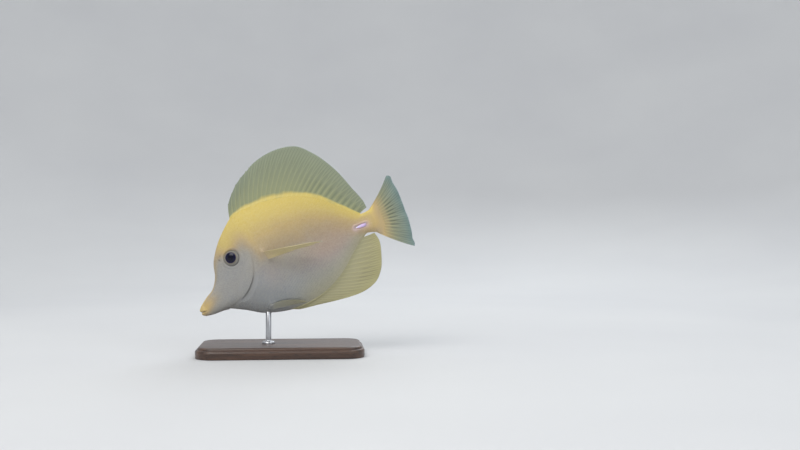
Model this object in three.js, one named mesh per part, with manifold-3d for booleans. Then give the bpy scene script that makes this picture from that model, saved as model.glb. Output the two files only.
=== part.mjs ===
// Yellow tang at life size, swimming nose-down, on a plain display stand.
// The fish is built level in its own frame: x runs from the snout tip to the tail, y to the fish's
// right and z up, in millimetres. It is then pitched and set on the rod. The part's origin is the
// centre of the base's underside, and the fish's head points along -X.
import * as THREE from "three";
import { mergeVertices } from "three/addons/utils/BufferGeometryUtils.js";
import Module from "manifold-3d";

const wasm = await Module();
wasm.setup();

// Driving dimensions.
const STANDARD_LENGTH = 136; // snout tip to the end of the flesh, on a fish 160 long with its tail fin
const PITCH = THREE.MathUtils.degToRad(20); // how far the nose points down
const GAP = 0.3; // left between faces that touch
const CLEARANCE = 20; // from the stand's base up to the chin
const BASE = { length: 118, width: 64, height: 8, corner: 14, bevel: 1 };
const ROD = { radius: 2, x: 45, collar: 4.5, collarHeight: 1.6 }; // x is where it meets the breast

const PERCENT = STANDARD_LENGTH / 100;

// Cross-sections from the mouth to the end of the flesh, in hundredths of the standard length. Each
// gives x and z of its back, its widest point and its belly, then its greatest half-width.
const STATIONS = [
  ["mouth slit", 0.7, -0.2, 3.0, -0.4, 0.8, -0.6, 2.2],
  ["lip crest", 0.0, 0.9, 2.6, -0.3, 0.5, -1.8, 2.7],
  ["lip root", 1.3, 2.6, 3.6, -0.2, 2.0, -2.9, 2.6],
  ["lip crease", 2.3, 3.5, 4.3, 0.0, 3.0, -3.1, 2.4],
  ["snout", 5.6, 6.1, 6.2, 1.2, 6.1, -3.5, 2.9],
  ["muzzle", 10.0, 9.1, 11.4, 2.7, 9.9, -3.5, 3.7],
  ["cheek", 13.3, 14.6, 16.9, 5.2, 11.8, -3.5, 4.8],
  ["brow", 15.5, 22.6, 23.3, 8.1, 13.0, -3.6, 5.8],
  ["crown", 21.6, 31.9, 28.9, 10.3, 14.4, -3.8, 6.6],
  ["gill edge", 30.4, 40.4, 34.1, 12.2, 15.9, -3.9, 7.2],
  ["throat", 34.7, 42.5, 37.9, 13.1, 23.4, -7.6, 7.45],
  ["shoulder", 39.9, 43.6, 41.8, 13.6, 31.5, -12.1, 7.6],
  ["belly", 50.0, 44.1, 50.7, 14.0, 44.3, -15.2, 7.5],
  ["vent", 59.3, 43.1, 59.8, 14.2, 56.2, -15.2, 6.9],
  ["flank", 69.0, 40.7, 68.6, 14.4, 67.0, -12.4, 6.0],
  ["rear", 78.6, 35.9, 76.8, 14.6, 77.2, -6.7, 5.0],
  ["tail slope", 87.4, 27.9, 84.0, 14.7, 87.0, 1.9, 4.0],
  ["tail root", 95.2, 20.7, 90.0, 14.7, 95.0, 8.4, 3.3],
  ["peduncle", 98.2, 19.8, 95.8, 14.6, 98.0, 8.8, 2.5],
  ["flesh end", 100.9, 20.2, 101.8, 14.4, 100.7, 8.0, 1.8],
];
const LIP_CREASE = 3; // stations where the nodes of flesh part
const GILL_EDGE = 9;
const TAIL_ROOT = 17;
const FLESH_END = 19;
const HALF_EDGE = 0.8 * PERCENT; // half-width of the ridge along back and belly that the fins stand on

const SIDES = { left: -1, right: 1 };

// Value at a fractional place in a list of evenly spaced numbers: a Catmull-Rom spline.
function spline(values, place) {
  const last = values.length - 1;
  const i = Math.min(Math.max(Math.floor(place), 0), last - 1);
  const f = place - i;
  const [a, b, c, d] = [i - 1, i, i + 1, i + 2].map((k) => values[Math.min(Math.max(k, 0), last)]);
  return b + 0.5 * f * (c - a + f * (2 * a - 5 * b + 4 * c - d + f * (3 * (b - c) + d - a)));
}

// Value at x on a broken line of [x, value] pairs, eased between them so that it has no corners.
function along(pairs, x) {
  const i = Math.max(1, pairs.findIndex(([at]) => at >= x));
  const [[x0, v0], [x1, v1]] = [pairs[i - 1], pairs[i]];
  const slope = (k) => {
    const [p, q] = [pairs[Math.max(k - 1, 0)], pairs[Math.min(k + 1, pairs.length - 1)]];
    return (q[1] - p[1]) / (q[0] - p[0]);
  };
  const [f, w] = [(x - x0) / (x1 - x0), x1 - x0];
  const [s0, s1] = [slope(i - 1) * w, slope(i) * w];
  return v0 + f * (s0 + f * (3 * (v1 - v0) - 2 * s0 - s1 + f * (2 * (v0 - v1) + s0 + s1)));
}

const mix = THREE.MathUtils.lerp;
const clamp = THREE.MathUtils.clamp;
const smoothstep = THREE.MathUtils.smoothstep;

const COLUMNS = [1, 2, 3, 4, 5, 6, 7].map((k) => STATIONS.map((row) => row[k] * PERCENT));

// Side-view point of the body at station s, with t running from -1 at the belly, through 0 at the
// widest point, to 1 at the back: a parabola through the station's three points.
function profile(s, t) {
  const [bx, bz, mx, mz, vx, vz] = COLUMNS.slice(0, 6).map((column) => spline(column, s));
  const through = (belly, side, back) =>
    side + (t * (back - belly)) / 2 + t * t * ((back + belly) / 2 - side);
  return [through(vx, mx, bx), through(vz, mz, bz)];
}

// Half-width of the body there.
function halfWidth(s, t) {
  const half = spline(COLUMNS[6], s);
  const edge = Math.min(HALF_EDGE, half * 0.4);
  const fall = mix(0.5, 0.7, smoothstep(s, LIP_CREASE, GILL_EDGE));
  return edge + (half - edge) * Math.pow(Math.max(0, 1 - Math.abs(t) ** 2.4), fall);
}

// Point of the skin, swollen outwards by grow.
function skin(s, t, side, grow = 0) {
  const [x, z] = profile(s, t);
  const y = halfWidth(s, t) + grow;
  return new THREE.Vector3(x, side * y, z + grow * t ** 3);
}

// Outward direction of the skin, from the steps along s and t.
function skinNormal(s, t, side) {
  const step = 0.02;
  const ds = skin(s + step, t, side).sub(skin(s - step, t, side));
  const dt = skin(s, t + step, side).sub(skin(s, t - step, side));
  return ds.cross(dt).multiplyScalar(side < 0 ? 1 : -1).normalize();
}

// The s and t of the skin at a side-view place, by Newton's method.
function locate(x, z, s = 10, t = 0) {
  const step = 0.001;
  for (let i = 0; i < 30; i += 1) {
    const [px, pz] = profile(s, t);
    const [sx, sz] = profile(s + step, t);
    const [tx, tz] = profile(s, t + step);
    const [a, b, c, d] = [sx - px, tx - px, sz - pz, tz - pz].map((v) => v / step);
    const area = a * d - b * c;
    const [ds, dt] = [(d * (x - px) - b * (z - pz)) / area, (a * (z - pz) - c * (x - px)) / area];
    s = clamp(s + clamp(ds, -0.3, 0.3), 0.5, FLESH_END - 0.1);
    t = clamp(t + clamp(dt, -0.1, 0.1), -0.99, 0.99);
  }
  return [s, t];
}

// Closed skin over a row of rings. Each ring goes up one face and down the other, so that the two
// ends close as strips and both faces split into triangles alike.
function loft(rings) {
  const n = rings[0].length;
  const index = [];
  for (let i = 0; i + 1 < rings.length; i += 1) {
    for (let k = 0; k < n; k += 1) {
      const next = (k + 1) % n;
      const [a, b, c, d] = [i * n + k, i * n + next, (i + 1) * n + next, (i + 1) * n + k];
      index.push(...(k < n / 2 ? [a, b, c, a, c, d] : [a, b, d, b, c, d]));
    }
  }
  for (const [start, turned] of [[0, true], [(rings.length - 1) * n, false]]) {
    for (let k = 0; k < n / 2 - 1; k += 1) {
      const [a, b, c, d] = [k, k + 1, n - 2 - k, n - 1 - k].map((corner) => start + corner);
      const quad = [a, b, d, b, c, d];
      index.push(...(turned ? quad.reverse() : quad));
    }
  }
  const position = new THREE.Float32BufferAttribute(rings.flat().flatMap((p) => p.toArray()), 3);
  return new THREE.BufferGeometry().setAttribute("position", position).setIndex(index);
}

// A closed geometry as a solid, turned right side out.
function solid(geometry) {
  const bare = new THREE.BufferGeometry().setAttribute("position", geometry.getAttribute("position"));
  const merged = mergeVertices(bare.setIndex(geometry.index), 1e-4);
  const triVerts = Uint32Array.from(merged.index.array);
  const vertProperties = merged.attributes.position.array;
  const made = new wasm.Manifold(new wasm.Mesh({ numProp: 3, vertProperties, triVerts }));
  return made.volume() > 0 ? made : new wasm.Manifold(
    new wasm.Mesh({ numProp: 3, vertProperties, triVerts: triVerts.reverse() }),
  );
}

const largest = (made) => made.decompose().sort((a, b) => b.volume() - a.volume())[0];

function meshOf(name, made, material) {
  const { vertProperties, triVerts } = largest(made).getMesh();
  const geometry = new THREE.BufferGeometry();
  geometry.setAttribute("position", new THREE.BufferAttribute(vertProperties, 3));
  geometry.setIndex(new THREE.BufferAttribute(triVerts, 1));
  geometry.computeVertexNormals();
  const mesh = new THREE.Mesh(geometry, material);
  mesh.name = name;
  return mesh;
}

// Flesh.

const HEIGHTS = 6; // rows of points from the widest line to the back, and to the belly

// The flesh just behind the gill cover is sunk, which shows the cover's edge.
const gillStep = (s, t) =>
  -0.9 * smoothstep(t, -0.85, -0.6) * (1 - smoothstep(t, 0.25, 0.42)) * Math.exp(2 * (GILL_EDGE - s));

// One cross-section of the body, moved along the body by shift and swollen as swell says.
function section(s, shift = 0, swell = () => 0) {
  const ring = [];
  for (const side of [-1, 1]) {
    for (let k = -HEIGHTS; k <= HEIGHTS; k += 1) {
      const t = Math.sin((-side * k * Math.PI) / 2 / HEIGHTS);
      const [x0, z0] = profile(s, t - 0.01);
      const [x1, z1] = profile(s, t + 0.01);
      const across = new THREE.Vector3(z1 - z0, 0, x0 - x1).normalize();
      ring.push(skin(s, t, side, swell(s, t)).addScaledVector(across, shift));
    }
  }
  return ring;
}

// The body from one station to another, with its first section moved back by the gap.
function flesh(from, to, steps, gap = 0, swell = undefined) {
  const rings = [section(from, gap, swell)];
  for (let i = 1; i <= steps; i += 1) rings.push(section(mix(from, to, i / steps), 0, swell));
  return solid(loft(rings));
}

// The gill cover is a crescent plate lying in the skin. It ends just short of the gill edge, rises a
// little from the cheek and is let into a recess that is open to the rear.
const GILL_COVER = { low: -0.74, high: 0.27, horn: 2.4, width: 7.4, rise: 0.35, sink: 1.4 };

function gillCover(side, grow = 0) {
  const { low, high, horn, width, rise, sink } = GILL_COVER;
  const [across, up] = [5, 9];
  const face = (i, k, depth) => {
    const b = k / up;
    const t = mix(low - 0.035 * grow, high + 0.035 * grow, b);
    const reach = horn + width * Math.sin(Math.PI * b) ** 0.8 + 1.4 * grow;
    const forward = mix(reach, -4 * grow, i / across);
    const [x, z] = profile(GILL_EDGE - 0.08, t);
    const [s, near] = locate(x - forward, z + 0.25 * forward, GILL_EDGE - 0.5, t);
    return skin(s, near, side).addScaledVector(skinNormal(s, near, side), depth);
  };
  const rings = [];
  for (let i = 0; i <= across; i += 1) {
    const faces = [rise + 3 * grow, -sink - grow].map((depth) =>
      Array.from({ length: up + 1 }, (_, k) => face(i, k, depth)),
    );
    rings.push([...faces[0], ...faces[1].reverse()]);
  }
  return solid(loft(rings));
}

// Eyes, each a flattened ball set in a socket with a raised rim.
const EYE = { x: 34.2, z: 28.6, radius: 5.7, depth: 3.4, sink: 1.5, rimTube: 0.65 };

function atSkin(geometry, x, z, side, sink) {
  const [s, t] = locate(x, z, 8, 0.4);
  const normal = skinNormal(s, t, side);
  const turn = new THREE.Quaternion().setFromUnitVectors(new THREE.Vector3(0, 0, 1), normal);
  const place = skin(s, t, side).addScaledVector(normal, -sink);
  return geometry.applyMatrix4(new THREE.Matrix4().compose(place, turn, new THREE.Vector3(1, 1, 1)));
}

function eyeball(side, grow = 0) {
  const ball = new THREE.SphereGeometry(1, 20, 10);
  ball.scale(EYE.radius + grow, EYE.radius + grow, EYE.depth + grow);
  return solid(atSkin(ball, EYE.x, EYE.z, side, EYE.sink));
}

function eyeRim(side) {
  const ring = new THREE.TorusGeometry(EYE.radius + 0.7, EYE.rimTube, 5, 22);
  return solid(atSkin(ring, EYE.x, EYE.z, side, 0.3));
}

const NOSTRILS = [
  { x: 25.4, z: 30.0, radius: 0.75 },
  { x: 26.9, z: 32.6, radius: 0.55 },
];

function nostril(side, { x, z, radius }) {
  const pit = new THREE.SphereGeometry(radius, 8, 6);
  return solid(atSkin(pit, x, z, side, 0));
}

function head() {
  let made = flesh(LIP_CREASE, GILL_EDGE, 20, GAP);
  for (const side of Object.values(SIDES)) {
    made = made.add(eyeRim(side)).subtract(eyeball(side, GAP)).subtract(gillCover(side, GAP));
    for (const opening of NOSTRILS) made = made.subtract(nostril(side, opening));
  }
  return made;
}

// The lips are one roll of flesh round the mouth slit, parted by a thin cut along the slit.
function lips() {
  const roll = flesh(0, LIP_CREASE, 6);
  const cut = new THREE.BoxGeometry(20, 20, GAP).translate(0, 0, -0.4 * PERCENT);
  const [one, other] = roll.subtract(solid(cut)).decompose().sort((a, b) => b.volume() - a.volume());
  const height = (made) => made.boundingBox().max[2];
  return height(one) > height(other) ? [one, other] : [other, one];
}

// The tail spine lies forward in a groove, its sharp end standing a little off the skin.
const TAIL_SPINE = { tipX: 124.2, rootX: 132.2, z: 18.6, height: 1.15, thickness: 0.6 };

function tailSpine(side, grow = 0) {
  const steps = 6;
  const rings = [];
  for (let i = 0; i <= steps; i += 1) {
    const f = i / steps;
    const [s, t] = locate(mix(TAIL_SPINE.tipX, TAIL_SPINE.rootX, f), TAIL_SPINE.z, 18, 0.3);
    const normal = skinNormal(s, t, side);
    const lift = mix(0.7, 0.1, f);
    const size = 0.25 + 0.75 * Math.sin(Math.PI * Math.min(f * 0.62 + 0.05, 0.6));
    const centre = skin(s, t, side).addScaledVector(normal, lift);
    centre.x += (f < 0.5 ? -grow : grow) * (i === 0 || i === steps ? 1 : 0);
    rings.push(ellipse(8, centre, new THREE.Vector3(0, 0, TAIL_SPINE.height * size + grow),
      normal.clone().multiplyScalar(TAIL_SPINE.thickness * size + grow)));
  }
  return solid(loft(rings));
}

// Points round an ellipse, ordered so that the loft can close its ends as strips.
function ellipse(count, centre, tall, wide) {
  return Array.from({ length: count }, (_, k) => {
    const angle = ((k + 0.5) / count) * 2 * Math.PI;
    return centre.clone()
      .addScaledVector(tall, -Math.cos(angle))
      .addScaledVector(wide, Math.sin(angle));
  });
}

function tail() {
  let made = flesh(TAIL_ROOT, FLESH_END, 7, GAP);
  for (const side of Object.values(SIDES)) made = made.subtract(tailSpine(side, GAP));
  return made;
}

// Fins.

// A fin is a thin web with its rays raised on both faces. point(a, r) is its middle surface, with a
// across the rays from 0 to 1 and r out along them, and root(a) its half-thickness at the base.
function fin({ rays, spines = 0, rows, point, root, web = 0.27, ridge = 0.3 }) {
  const pitch = 1 / (rays - 1);
  const columns = [];
  for (let j = 0; j < rays; j += 1) {
    const spine = j < spines;
    for (const foot of [-0.28, 0, 0.28]) {
      const a = (j + foot) * pitch;
      if (a >= 0 && a <= 1) columns.push({ a, crest: foot === 0, spine });
    }
  }
  const rings = columns.map(({ a, crest, spine }) => {
    const reach = crest ? 1 : spine ? 0.95 : 0.985;
    const faces = [[], []];
    for (let j = 0; j <= rows; j += 1) {
      const r = (j / rows) * reach;
      const out = point(a, r + 0.01).sub(point(a, Math.max(0, r - 0.01)));
      const side = point(Math.min(1, a + 0.01), r).sub(point(Math.max(0, a - 0.01), r));
      const normal = out.cross(side).normalize();
      const raised = crest ? ridge * (spine ? 1.5 : 1) * (1 - 0.75 * r) : 0;
      const half = mix(root(a), web, Math.min(1, r * 3) ** 0.7) + raised * smoothstep(r, 0, 0.1);
      faces[0].push(point(a, r).addScaledVector(normal, half));
      faces[1].push(point(a, r).addScaledVector(normal, -half));
    }
    return [...faces[0], ...faces[1].reverse()];
  });
  return solid(loft(rings));
}

// Middle surface of a fin in the fish's mid-plane: each ray is a shallow arc from its foot, which
// stands the gap off the flesh, with a lean above the x axis, a length and a backward bow.
function uprightRay({ foot, lean, length, bow }) {
  return (a, r) => {
    const { x, z } = foot(a);
    const bend = THREE.MathUtils.degToRad(along(bow, a));
    const start = THREE.MathUtils.degToRad(along(lean, a)) + bend / 2;
    const turn = bend * r;
    const reach = along(length, a) / bend;
    return new THREE.Vector3(
      x + reach * (Math.sin(start) - Math.sin(start - turn)),
      0,
      z + reach * (Math.cos(start - turn) - Math.cos(start)),
    );
  };
}

// The station whose back (edge 1) or belly (edge -1) lies at x, by halving.
function stationAt(x, edge) {
  let [low, high] = [GILL_EDGE, FLESH_END];
  for (let i = 0; i < 24; i += 1) {
    const middle = (low + high) / 2;
    if (profile(middle, edge)[0] < x) low = middle;
    else high = middle;
  }
  return low;
}

// Foot of a fin on the ridge of the back or belly, from one x to another.
const ridgeFoot = (edge, from, to) => (a) => {
  const s = stationAt(mix(from, to, a), edge);
  const [[x, z], [x0, z0], [x1, z1]] = [s, s - 0.02, s + 0.02].map((at) => profile(at, edge));
  const out = new THREE.Vector2(z0 - z1, x1 - x0).normalize().multiplyScalar(edge * GAP);
  return { x: x + out.x, z: z + out.y };
};

const FIN_ROOT = () => HALF_EDGE - 0.1;

const dorsalFin = () => fin({
  rays: 29, // 5 spines and 24 soft rays
  spines: 5,
  rows: 6,
  root: FIN_ROOT,
  point: uprightRay({
    foot: ridgeFoot(1, 42.2, 131),
    lean: [[0, 76], [0.1, 71], [0.24, 63], [0.44, 50], [0.63, 38], [0.83, 27], [0.95, 27], [1, 22]],
    length: [
      [0, 10], [0.08, 20.6], [0.24, 33.1], [0.41, 38.4], [0.54, 33.2], [0.68, 25.4], [0.83, 16.8],
      [0.95, 10.6], [1, 6.2],
    ],
    bow: [[0, 8], [0.4, 14], [1, 14]],
  }),
});

const analFin = () => fin({
  rays: 23, // 3 spines and 20 soft rays
  spines: 3,
  rows: 5,
  root: FIN_ROOT,
  point: uprightRay({
    foot: ridgeFoot(-1, 63.4, 128.3),
    lean: [[0, -22], [0.12, -16], [0.33, -14.5], [0.45, -12.3], [0.6, -10], [0.75, -5], [1, 1]],
    length: [
      [0, 3.5], [0.1, 9], [0.2, 19.5], [0.32, 29], [0.45, 32.5], [0.6, 29.5], [0.75, 23.6], [0.88, 17],
      [1, 7.6],
    ],
    bow: [[0, -6], [0.4, -12], [1, -12]],
  }),
});

const caudalFin = () => fin({
  rays: 16,
  rows: 5,
  root: (a) => halfWidth(FLESH_END, 1 - 2 * a) - 0.1,
  point: uprightRay({
    foot: (a) => {
      const [x, z] = profile(FLESH_END, 1 - 2 * a);
      return { x: x + GAP * 1.2, z };
    },
    lean: [[0, 43], [0.12, 34.5], [0.5, 0], [0.88, -33], [1, -40]],
    length: [[0, 28.5], [0.06, 29.8], [0.14, 27.3], [0.5, 24], [0.88, 27.7], [0.95, 30], [1, 30.2]],
    bow: [[0, -14], [0.5, -4], [1, -12]],
  }),
});

// A paired fin's ray as a curve from its foot on the skin, first straight out and then to its tip.
function bentRay(foot, out, tip, r) {
  const control = foot.clone().add(out);
  return foot.clone().multiplyScalar((1 - r) ** 2)
    .addScaledVector(control, 2 * r * (1 - r))
    .addScaledVector(tip, r * r);
}

// The pectoral fin grows from a slanting root behind the gill cover and sweeps back like a wing,
// so that from the side it shows as little more than its edge.
const PECTORAL = {
  rootTop: { x: 56.4, z: 25.4 },
  rootFoot: { x: 58.6, z: 19.2 },
  length: [[0, 43], [0.2, 45], [0.5, 40], [0.8, 29], [1, 20]],
  outward: [[0, 27], [0.5, 17], [1, 7]], // degrees from the fish's length, seen from above
  dip: -5.5, // degrees below the fish's length, seen from the side
};

const pectoralFin = (side) => fin({
  rays: 15,
  rows: 4,
  root: () => 0.9,
  ridge: 0.22,
  point: (a, r) => {
    const x = mix(PECTORAL.rootTop.x, PECTORAL.rootFoot.x, a);
    const z = mix(PECTORAL.rootTop.z, PECTORAL.rootFoot.z, a);
    const [s, t] = locate(x, z);
    const normal = skinNormal(s, t, side);
    const foot = skin(s, t, side).addScaledVector(normal, GAP);
    const swing = THREE.MathUtils.degToRad(along(PECTORAL.outward, a));
    const reach = along(PECTORAL.length, a);
    const middle = (PECTORAL.rootTop.z + PECTORAL.rootFoot.z) / 2;
    const tip = new THREE.Vector3(
      foot.x + reach * Math.cos(swing),
      foot.y + side * (reach * Math.sin(swing) + 2),
      middle + (foot.z - middle) * 0.35 + reach * Math.sin(THREE.MathUtils.degToRad(PECTORAL.dip)),
    );
    return bentRay(foot, normal.multiplyScalar(6), tip, r);
  },
});

// The pelvic fin is folded back along the lower flank, following the skin just clear of it.
const PELVIC = { x: 47.5, z: -14.6, length: 27, rootWidth: 3, spread: 2.6, fall: -3.6, lift: 0.9 };

const pelvicFin = (side) => fin({
  rays: 6, // 1 spine and 5 soft rays
  spines: 1,
  rows: 6,
  root: () => 0.7,
  ridge: 0.25,
  point: (a, r) => {
    const x = PELVIC.x + 2.2 * a + r * (PELVIC.length - 7 * a);
    const width = PELVIC.rootWidth + PELVIC.spread * Math.sin(Math.PI * Math.min(1, r * 0.8));
    const z = PELVIC.z + PELVIC.fall * r + a * width * (1 - 0.35 * r);
    const [s, t] = locate(x, z, 11, -0.8);
    return skin(s, t, side).addScaledVector(skinNormal(s, t, side), GAP + 0.75 + PELVIC.lift * r);
  },
});

// Finishes.

const finish = (color, roughness, metalness = 0) =>
  new THREE.MeshStandardMaterial({ color, roughness, metalness });
const YELLOW_SKIN = finish(0xc9b56a, 0.5);
const PALE_LIP = finish(0xcfc086, 0.5);
const CLEAR_FIN = finish(0xb4b482, 0.45);
const DARK_EYE = finish(0x191a3c, 0.12);
const WHITE_SPINE = finish(0xe4dcf0, 0.35);
const DARK_WOOD = finish(0x3a2c24, 0.55);
const STEEL = finish(0xb9bbbd, 0.3, 1);

// Stand.

function standBase() {
  const { length, width, height, corner, bevel } = BASE;
  const [x, y, r] = [length / 2 - bevel, width / 2 - bevel, corner - bevel];
  const outline = new THREE.Shape();
  outline.absarc(x - r, y - r, r, 0, Math.PI / 2);
  outline.absarc(r - x, y - r, r, Math.PI / 2, Math.PI);
  outline.absarc(r - x, r - y, r, Math.PI, 1.5 * Math.PI);
  outline.absarc(x - r, r - y, r, 1.5 * Math.PI, 2 * Math.PI);
  const slab = new THREE.ExtrudeGeometry(outline, {
    depth: height - 2 * bevel,
    bevelThickness: bevel,
    bevelSize: bevel,
    bevelSegments: 2,
    curveSegments: 6,
  });
  return solid(mergeVertices(slab.deleteAttribute("normal").deleteAttribute("uv")).translate(0, 0, bevel));
}

// The rod stands on a small collar, and its upper end is cut to the shape of the breast it carries.
function standRod(place) {
  const { radius, collar, collarHeight } = ROD;
  const foot = BASE.height + GAP;
  const [breastX, breastZ] = profile(stationAt(ROD.x, -1), -1);
  const top = new THREE.Vector3(breastX, 0, breastZ).applyMatrix4(place);
  const outline = [
    [0, foot], [collar - 0.4, foot], [collar, foot + 0.4], [collar, foot + collarHeight - 0.4],
    [collar - 0.4, foot + collarHeight], [radius, foot + collarHeight], [radius, top.z + 3], [0, top.z + 3],
  ].map(([r, z]) => new THREE.Vector2(r, z));
  const rod = new THREE.LatheGeometry(outline, 20).rotateX(Math.PI / 2).translate(top.x, 0, 0);
  const breast = [];
  for (let s = GILL_EDGE + 1; s <= GILL_EDGE + 4; s += 0.25) breast.push(section(s, 0, () => GAP));
  return solid(rod).subtract(solid(loft(breast).applyMatrix4(place)));
}

// Pitch the fish, with its balance point over the centre of the base and its chin at the clearance.
const BALANCE = { x: 68, z: 20 };
const CHIN = { x: 4.5, z: -4.4 };
const turned = ({ x, z }) => ({
  x: x * Math.cos(PITCH) - z * Math.sin(PITCH),
  z: x * Math.sin(PITCH) + z * Math.cos(PITCH),
});

const fish = new THREE.Group();
fish.rotation.y = -PITCH;
fish.position.set(-turned(BALANCE).x, 0, BASE.height + CLEARANCE - turned(CHIN).z);
fish.updateMatrixWorld(true);

const [upperLip, lowerLip] = lips();
fish.add(
  meshOf("head", head(), YELLOW_SKIN),
  meshOf("upper_lip", upperLip, PALE_LIP),
  meshOf("lower_lip", lowerLip, PALE_LIP),
  meshOf("torso", flesh(GILL_EDGE, TAIL_ROOT, 24, GAP, gillStep), YELLOW_SKIN),
  meshOf("tail", tail(), YELLOW_SKIN),
  meshOf("dorsal_fin", dorsalFin(), CLEAR_FIN),
  meshOf("anal_fin", analFin(), CLEAR_FIN),
  meshOf("caudal_fin", caudalFin(), CLEAR_FIN),
);
for (const [name, side] of Object.entries(SIDES)) {
  fish.add(
    meshOf(`gill_cover_${name}`, gillCover(side), YELLOW_SKIN),
    meshOf(`eye_${name}`, eyeball(side), DARK_EYE),
    meshOf(`tail_spine_${name}`, tailSpine(side), WHITE_SPINE),
    meshOf(`pectoral_fin_${name}`, pectoralFin(side), CLEAR_FIN),
    meshOf(`pelvic_fin_${name}`, pelvicFin(side), CLEAR_FIN),
  );
}

const part = new THREE.Group();
part.add(fish, meshOf("stand_base", standBase(), DARK_WOOD));
part.add(meshOf("stand_rod", standRod(fish.matrixWorld), STEEL));

export default part;
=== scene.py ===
# %% [markdown]
# This lesson dresses a yellow tang as a museum would show it: a thin, deep-bodied reef fish with a
# tall back fin, a pointed snout and a folded spine beside its tail, held nose-down on a short rod.
# The solids in the frame give the true size and place of every part. Here each soft form is made
# again as one fine numpy surface, so that no seam shows between head, flank and tail.

# %% Load the frame
import math

import bpy
import numpy as np
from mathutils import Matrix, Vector


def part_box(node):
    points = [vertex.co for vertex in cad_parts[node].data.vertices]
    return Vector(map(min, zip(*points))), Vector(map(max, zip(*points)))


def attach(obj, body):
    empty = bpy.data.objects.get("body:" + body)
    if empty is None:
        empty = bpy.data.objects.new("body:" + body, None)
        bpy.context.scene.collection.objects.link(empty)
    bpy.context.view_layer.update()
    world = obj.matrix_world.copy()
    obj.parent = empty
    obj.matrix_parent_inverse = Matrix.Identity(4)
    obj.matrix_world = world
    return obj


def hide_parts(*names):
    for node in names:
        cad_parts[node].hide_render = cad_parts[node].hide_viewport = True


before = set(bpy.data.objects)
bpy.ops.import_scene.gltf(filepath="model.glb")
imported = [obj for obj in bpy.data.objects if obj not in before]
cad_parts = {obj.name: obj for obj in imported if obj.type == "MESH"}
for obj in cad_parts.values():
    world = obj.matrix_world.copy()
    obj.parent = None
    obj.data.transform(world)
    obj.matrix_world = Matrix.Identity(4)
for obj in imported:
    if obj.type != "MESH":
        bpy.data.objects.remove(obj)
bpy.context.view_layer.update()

MM = 0.001
print("nodes in the frame:", len(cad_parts))

# %% [markdown]
# The fish is worked out level, in millimetres: x from the snout tip to the tail, z up, y to its own
# right. Only at the end is it pitched nose-down and carried over the stand. These driving sizes are
# the ones that the solids were made from, and the printed check shows that they still agree.

# %% Driving sizes
STANDARD_LENGTH = 136
PERCENT = STANDARD_LENGTH / 100
PITCH = math.radians(20)
BALANCE = (68, 20)
CHIN = (4.5, -4.4)
BASE_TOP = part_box("stand_base")[1].z / MM
CLEARANCE = 20


def turned(x, z):
    """The level side-view place (x, z), turned nose-down about the snout tip."""
    return x * math.cos(PITCH) - z * math.sin(PITCH), x * math.sin(PITCH) + z * math.cos(PITCH)


SHIFT_X = -turned(*BALANCE)[0]
SHIFT_Z = BASE_TOP + CLEARANCE - turned(*CHIN)[1]
SIDES = (("left", 1), ("right", -1))


def placed(level):
    """Points of the level fish, in millimetres, as points of the scene, in metres."""
    x, z = turned(level[..., 0], level[..., 2])
    return np.stack([x + SHIFT_X, level[..., 1], z + SHIFT_Z], -1) * MM


lip_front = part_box("upper_lip")[0].x / MM
print("front of the upper lip, mm:", round(lip_front, 1), "and of the formulas:", round(SHIFT_X, 1))

# %% [markdown]
# Every form below is a grid of points. Two helpers turn grids into closed meshes: one joins the
# squares between neighbouring points, the other writes the arrays into Blender and turns the faces
# outwards. Numbers that the finishes need later, such as how near a point lies to a fin ray, are
# kept on the points as named attributes.

# %% Grid and mesh helpers
def squares(index):
    """Four-cornered faces between neighbouring entries of a 2-D array of point numbers."""
    corners = [index[:-1, :-1], index[1:, :-1], index[1:, 1:], index[:-1, 1:]]
    return np.stack([corner.ravel() for corner in corners], -1)


def volume(points, faces):
    """Signed volume of a closed mesh: a sixth of the sum of a . (b x c) over its triangles."""
    total = 0
    for part in faces:
        a, *rest = (points[part[:, k]] for k in range(part.shape[1]))
        for b, c in zip(rest, rest[1:]):
            total += np.sum(a * np.cross(b, c))
    return total / 6


def make_mesh(name, points, faces, bake=None, **marks):
    """A mesh object of points in metres and face arrays, turned to face out, with marks and baking map."""
    if volume(points, faces) < 0:
        faces = [part[:, ::-1] for part in faces]
    corners = np.concatenate([part.ravel() for part in faces])
    sizes = np.concatenate([np.full(len(part), part.shape[1]) for part in faces])
    mesh = bpy.data.meshes.new(name)
    mesh.vertices.add(len(points))
    mesh.vertices.foreach_set("co", points.astype(np.float32).ravel())
    mesh.loops.add(len(corners))
    mesh.loops.foreach_set("vertex_index", corners.astype(np.int32))
    mesh.polygons.add(len(sizes))
    mesh.polygons.foreach_set("loop_start", (np.cumsum(sizes) - sizes).astype(np.int32))
    mesh.update(calc_edges=True)
    for mark, values in marks.items():
        mesh.attributes.new(mark, "FLOAT", "POINT").data.foreach_set("value", values.astype(np.float32))
    if bake is not None:
        mesh.uv_layers.new(name="OFBake").data.foreach_set("uv", bake[corners].astype(np.float32).ravel())
    mesh.shade_smooth()
    piece = bpy.data.objects.new(name, mesh)
    bpy.context.scene.collection.objects.link(piece)
    print(f"{name}: {int(np.sum(sizes - 2))} triangles")
    return piece


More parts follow.
